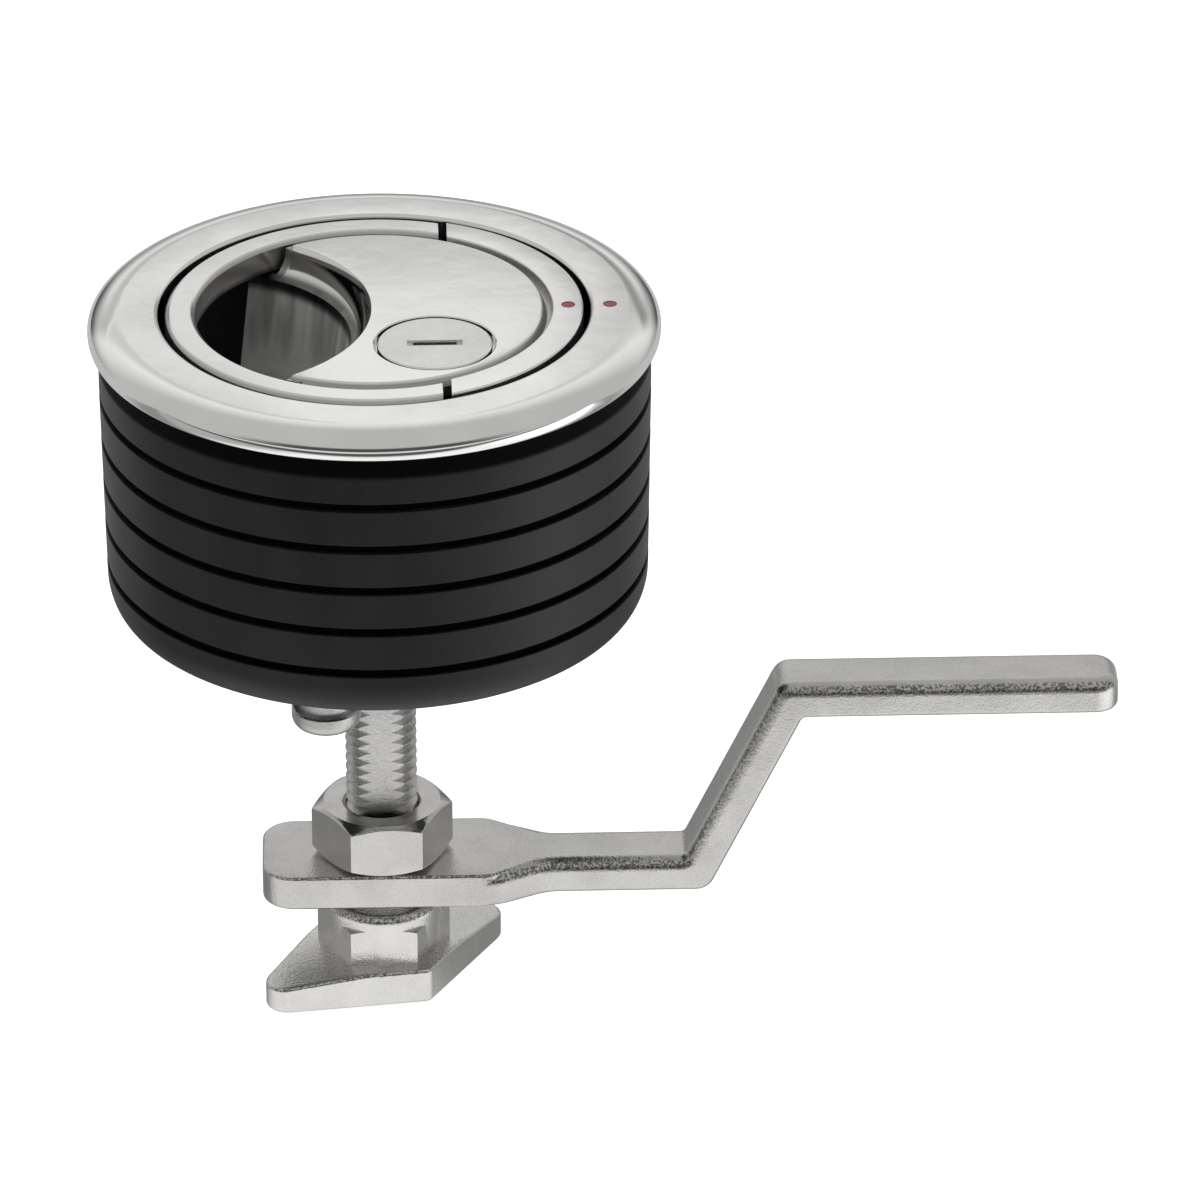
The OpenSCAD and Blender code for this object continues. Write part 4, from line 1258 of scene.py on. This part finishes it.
@dataclass
class ArmStack(Assembly):
    """Hex nut, cam arm and cast wing nut on the shaft."""

    arm_top: float = -79.2
    arm_t: float = 5.0
    rise: float = 26.8
    slope: float = 64.3
    knee: float = 41.75
    reach: float = 101.2
    nut_af: float = 17.0
    nut_h: float = 7.8
    bore_r: float = 5.02
    collar_z: float = -88.1
    hex_z: float = -93.4
    wing_z: float = -98.6
    wing_af: float = 15.9
    wing_turn: float = 34.0
    arm_round: float = 1.9
    under_share: float = 0.4
    wing_long: float = 23.0
    wing_short: float = 11.3

    def nut(self) -> None:
        """Builds the chamfered hex nut."""
        low, high = self.arm_top, self.arm_top + self.nut_h
        across = self.nut_af / math.sqrt(3)
        piece = Bench.rod("jam_nut_hex", across, Vector((0, 0, low)), Vector((0, 0, high)), 6, 34)
        face, out = 8.05, across + 0.6
        drop = (out - face) * math.tan(math.radians(30))
        blank = [(0.0, low), (face, low), (out, low + drop), (out, high - drop), (face, high),
                 (0.0, high)]
        Bench.combine(piece, Bench.lathe("blank", blank, 120), Join.KEEP)
        bore = [(0.0, low - 1), (6.4, low - 1), (5.4, low + 0.05), (self.bore_r, low + 0.45),
                (self.bore_r, high - 0.45), (5.4, high - 0.05), (6.4, high + 1), (0.0, high + 1)]
        Bench.combine(piece, Bench.lathe("bore", bore, 72), Join.CUT)
        Bench.soften(piece, 0.22, 38.0, 2)
        self.hand_over(piece, Body.SHAFT, "satin_steel", ["jam_nut"], 28, finish="nut_steel")

    def arm(self) -> None:
        """Builds the offset cam arm: side outline cut by the plan outline, edges rounded."""
        top, low = self.arm_top, self.arm_top - self.arm_t
        phi = math.radians(self.slope)
        back = self.arm_t / math.sin(phi) - self.arm_t / math.tan(phi)
        run = self.rise / math.tan(phi)
        knee, reach, end, wide, thin = self.knee, self.reach, -16.6, 8.3, 4.75
        side = rounded([(-19, top, 0), (-19, low, 0), (knee + back, low, 2.6),
                        (knee + back + run, low + self.rise, 0.9), (reach, low + self.rise, 0),
                        (reach, top + self.rise, 0), (knee + run, top + self.rise, 2.6),
                        (knee, top, 0.9)], 5)
        plan = rounded([(end, -wide, 4.5), (15.8, -wide, 7), (22.8, -thin, 7), (reach, -thin, 3.2),
                        (reach, thin, 3.2), (23.0, thin, 5), (16.2, wide, 3), (end, wide, 4.5)], 8)
        piece = Bench.plate("cam_arm_cast", side, -12, 12, True)
        Bench.combine(piece, Bench.plate("plan", plan, low - 2, top + self.rise + 2), Join.KEEP)
        middle = low + self.arm_t / 2
        core = [(-99.0, middle), (knee + back / 2, middle),
                (knee + back / 2 + run, middle + self.rise), (199.0, middle + self.rise)]
        Bench.soften(piece, self.arm_round, 40.0, 6, True, lower_side=(core, self.under_share))
        outline = rounded([(end, -wide, 4.5), (14.6, -wide, 4), (22.6, -3.2, 1), (22.6, 3.2, 1),
                           (14.6, wide, 4), (end, wide, 4.5)], 8)
        boss = Bench.plate("boss", outline, low, top)
        Bench.soften(boss, 0.42, 40.0, 3)
        Bench.combine(piece, boss, Join.ADD)
        hole = Bench.rod("hole", 5.0, Vector((0, 0, low - 1)), Vector((0, 0, top + 1)), 72)
        flats = Bench.block("flats", (-9, -3.88, low - 3), (9, 3.88, top + 3))
        Bench.combine(hole, flats, Join.KEEP)
        Bench.combine(piece, hole, Join.CUT)
        Bench.close(piece)
        self.hand_over(piece, Body.SHAFT, "cast_steel", ["cam_arm"], 30)

    def wing(self) -> None:
        """Builds the cast wing nut: collar, chamfered hexagon and sloping wings."""
        low, hexa, collar = self.wing_z, self.hex_z, self.collar_z
        top = self.arm_top - self.arm_t
        piece = Bench.rod("wing_nut_cast", self.wing_af / math.sqrt(3), Vector((0, 0, hexa - 2)),
                          Vector((0, 0, collar)), 6, 30)
        blank = [(0.0, hexa - 3), (12.0, hexa - 3), (12.0, collar - 1.55), (8.55, collar),
                 (0.0, collar)]
        Bench.combine(piece, Bench.lathe("blank", blank, 96), Join.KEEP)
        Bench.soften(piece, 0.35, 45.0, 3)
        far, wide = self.wing_long, self.wing_short
        lozenge = rounded([(far, 0, 3.0), (0, wide, 1.3), (-far, 0, 3.0), (0, -wide, 1.3)], 7)
        wings = Bench.plate("wings", lozenge, low, hexa + 1)
        side = [(-far, low - 1), (far, low - 1), (far, hexa - 1.75), (7.9, hexa), (-7.9, hexa),
                (-far, hexa - 1.75)]
        Bench.combine(wings, Bench.plate("side", side, -12, 12, True), Join.KEEP)
        Bench.take(wings)
        wings.matrix_world = Matrix.Rotation(math.radians(self.wing_turn), 4, "Z")
        Bench.settle()
        Bench.soften(wings, 0.6, 40.0, 3)
        Bench.combine(piece, wings, Join.ADD)
        ring = [(0.0, hexa - 1), (8.0, hexa - 1), (8.35, collar - 0.2), (8.35, collar + 0.9),
                *arc((7.05, collar + 1.1), 1.3, 0, 80, 8), (5.5, top - 1.35), (5.5, top),
                (0.0, top)]
        Bench.combine(piece, Bench.lathe("collar", ring, 96), Join.ADD)
        bore = [(0.0, low - 1), (6.2, low - 1), (self.bore_r, low + 0.5), (self.bore_r, top + 1),
                (0.0, top + 1)]
        Bench.combine(piece, Bench.lathe("bore", bore, 72), Join.CUT)
        self.hand_over(piece, Body.SHAFT, "cast_steel", ["wing_nut"], 30, finish="wing_steel")

    def build(self) -> None:
        """Builds the nut, the arm and the wing nut."""
        self.nut()
        self.arm()
        self.wing()


# ---- Studio ----


@dataclass(frozen=True)
class PhotoCamera:
    """Camera that sees the latch as the photograph does, in the frame of the top face."""

    distance: float = 1.20388262
    elevation: float = 0.453549636
    pitch: float = 0.0329674138
    pan: float = -0.0246385406
    roll: float = -0.0158196928
    focal_px: float = 8977.74006
    image_px: float = 1200.0
    sensor_mm: float = 36.0

    def make(self) -> None:
        """Creates the scene's camera."""
        out = Vector((0.0, -math.cos(self.elevation), math.sin(self.elevation)))
        ahead = -out
        right = Vector((1.0, 0.0, 0.0))
        down = ahead.cross(right)
        plain = Matrix((right, down, ahead))
        turned = (Matrix.Rotation(self.roll, 3, "Z") @ Matrix.Rotation(self.pan, 3, "Y")
                  @ Matrix.Rotation(self.pitch, 3, "X") @ plain)
        pose = Matrix((turned[0], -turned[1], -turned[2])).transposed().to_4x4()
        data = bpy.data.cameras.new("PhotoCamera")
        data.sensor_width = self.sensor_mm
        data.lens = self.sensor_mm * self.focal_px / self.image_px
        data.clip_start, data.clip_end = 0.05, 20.0
        camera = bpy.data.objects.new("PhotoCamera", data)
        bpy.context.scene.collection.objects.link(camera)
        place = out * self.distance + Vector((0, 0, FACE_Z * MM))
        camera.matrix_world = Matrix.Translation(place) @ pose
        bpy.context.scene.camera = camera


@dataclass(frozen=True)
class Studio:
    """Plain pale floor, soft lamps, and a pale world that is darker overhead."""

    floor_z: float = -0.104
    glow: float = 0.75
    world_light: float = 1.0
    lamp_watts: float = 2.5
    aim: Sequence[float] = (0.02, 0.0, -0.05)

    def floor(self) -> None:
        """Lays the pale floor; metal sees it brightest close in front of the latch."""
        Bench.clear()
        bpy.ops.mesh.primitive_plane_add(size=6.0, location=(0.0, 0.0, self.floor_z))
        ground = bpy.context.object
        ground.name = "floor"
        mix = Recipe("PaleFloor")
        side, depth, _ = mix.split(mix.wire("ShaderNodeTexCoord", output="Object"))
        front = depth * -1.0
        close = mix.ramp(front, -0.005, 0.018) * (1.0 - mix.ramp(front, 0.125, 0.165))
        close = close * (0.2 + 0.8 * mix.ramp(side, -0.13, -0.05))
        right = mix.ramp(side, 0.08, 0.17) * (1.0 - mix.ramp(front, 0.15, 0.21))
        right = right * mix.ramp(front, -0.05, 0.02)
        flank = mix.ramp(side * side, 0.004, 0.012) * mix.ramp(depth, 0.03, 0.10)
        dim = mix.ramp(front, 0.10, 0.16)
        away = mix.ramp(front, 0.25, 0.33) * (1.0 - mix.ramp(front, 0.5, 1.0))
        tone = 0.30 + 0.74 * close + 0.70 * away - 0.20 * dim + 0.55 * right + 0.25 * flank
        mirror = mix.wire("ShaderNodeEmission", {}, {"Color": mix.grey(tone)})
        cloth = mix.wire("ShaderNodeBsdfDiffuse", {}, {"Color": (0.90, 0.90, 0.90, 1.0)})
        glow = mix.wire("ShaderNodeEmission", {}, {"Color": (1.0, 1.0, 1.0, 1.0),
                                                   "Strength": self.glow})
        both = mix.wire("ShaderNodeAddShader", {}, {0: cloth, 1: glow})
        view = mix.choose("Is Camera Ray", cloth, both)
        mix.node("ShaderNodeOutputMaterial", {},
                 {"Surface": mix.choose("Is Glossy Ray", view, mirror)})
        ground.data.materials.append(mix.material)

    def world(self) -> None:
        """Makes the world: white to the camera; bright beyond the latch and mid grey overhead."""
        sky = bpy.data.worlds.new("Studio")
        bpy.context.scene.world = sky
        sky.use_nodes = True
        mix = Recipe("Studio", sky.node_tree)
        side, depth, height = mix.split(mix.wire("ShaderNodeTexCoord", output="Generated"))
        beyond = mix.ramp(depth, 0.45, 0.95) * mix.ramp(height, 0.06, 0.46)
        towards = mix.ramp(depth * -1.0, 0.45, 0.90) * (1.0 - mix.ramp(height, 0.26, 0.50))
        far = mix.ramp(depth, 0.4, 0.95) * (1.0 - mix.ramp(height, 0.02, 0.30))
        ahead = mix.ramp(depth, 0.80, 0.88)
        wings = ahead * mix.ramp(side * side, 0.01, 0.10) * (1.0 - mix.ramp(height, 0.30, 0.42))
        ahead = ahead * mix.ramp(height, 0.30, 0.42)
        back = ahead * (1.0 - mix.ramp(height, 0.4268, 0.4385))
        edge = ahead * mix.ramp(side, 0.016, 0.030)
        corner = ahead * mix.ramp(side * -1.0, 0.004, 0.018) * mix.ramp(height, 0.4395, 0.446)
        tone = 0.54 + 0.42 * beyond - 0.46 * towards - 0.18 * far
        tone = tone - 0.40 * back - 0.24 * edge - 0.28 * corner - 0.26 * wings
        glow = mix.wire("ShaderNodeBackground", {}, {"Color": mix.grey(tone),
                                                     "Strength": self.world_light})
        plain = mix.wire("ShaderNodeBackground", {}, {"Color": (1.0, 1.0, 1.0, 1.0),
                                                      "Strength": 1.0})
        mix.node("ShaderNodeOutputWorld", {},
                 {"Surface": mix.choose("Is Camera Ray", glow, plain)})

    def lamp(self, name: str, place: Sequence[float], size: float) -> None:
        """Hangs one soft square lamp that faces the latch and isn't mirrored by its metal.

        Args:
            name: Name of the lamp.
            place: Its place in metres.
            size: Side of the square in metres.
        """
        data = bpy.data.lights.new(name, "AREA")
        data.size = size
        data.energy = self.lamp_watts
        lamp = bpy.data.objects.new(name, data)
        bpy.context.scene.collection.objects.link(lamp)
        lamp.location = place
        lamp.visible_glossy = False
        aim = Vector(self.aim) - Vector(place)
        lamp.rotation_mode = "QUATERNION"
        lamp.rotation_quaternion = aim.to_track_quat("-Z", "Y")

    def build(self) -> None:
        """Sets up floor, world, lamps and colour management."""
        self.floor()
        self.world()
        self.lamp("SoftLeft", (-0.8, -0.6, 0.9), 0.7)
        self.lamp("SoftRight", (0.95, -0.45, 0.3), 0.5)
        bpy.context.scene.view_settings.view_transform = "Standard"


def main() -> None:
    """Builds the camera, the pieces and the studio, and logs each piece's face count."""
    logging.basicConfig(level=logging.INFO, format="%(name)s: %(message)s")
    PhotoCamera().make()
    palette = Palette()
    palette.dress_nodes()
    flange = Flange(palette)
    flange.build()
    flange.dot("face_dot", TurningFace.mark_x, Body.ROTOR, "rotor_mark")
    for maker in (StopWorks(palette), LockWorks(palette), TurningFace(palette), Handle(palette),
                  Shaft(palette), ReturnSpring(palette), ArmStack(palette)):
        maker.build()
    Studio().build()
    Bench.clear()


if __name__ == "__main__":
    main()
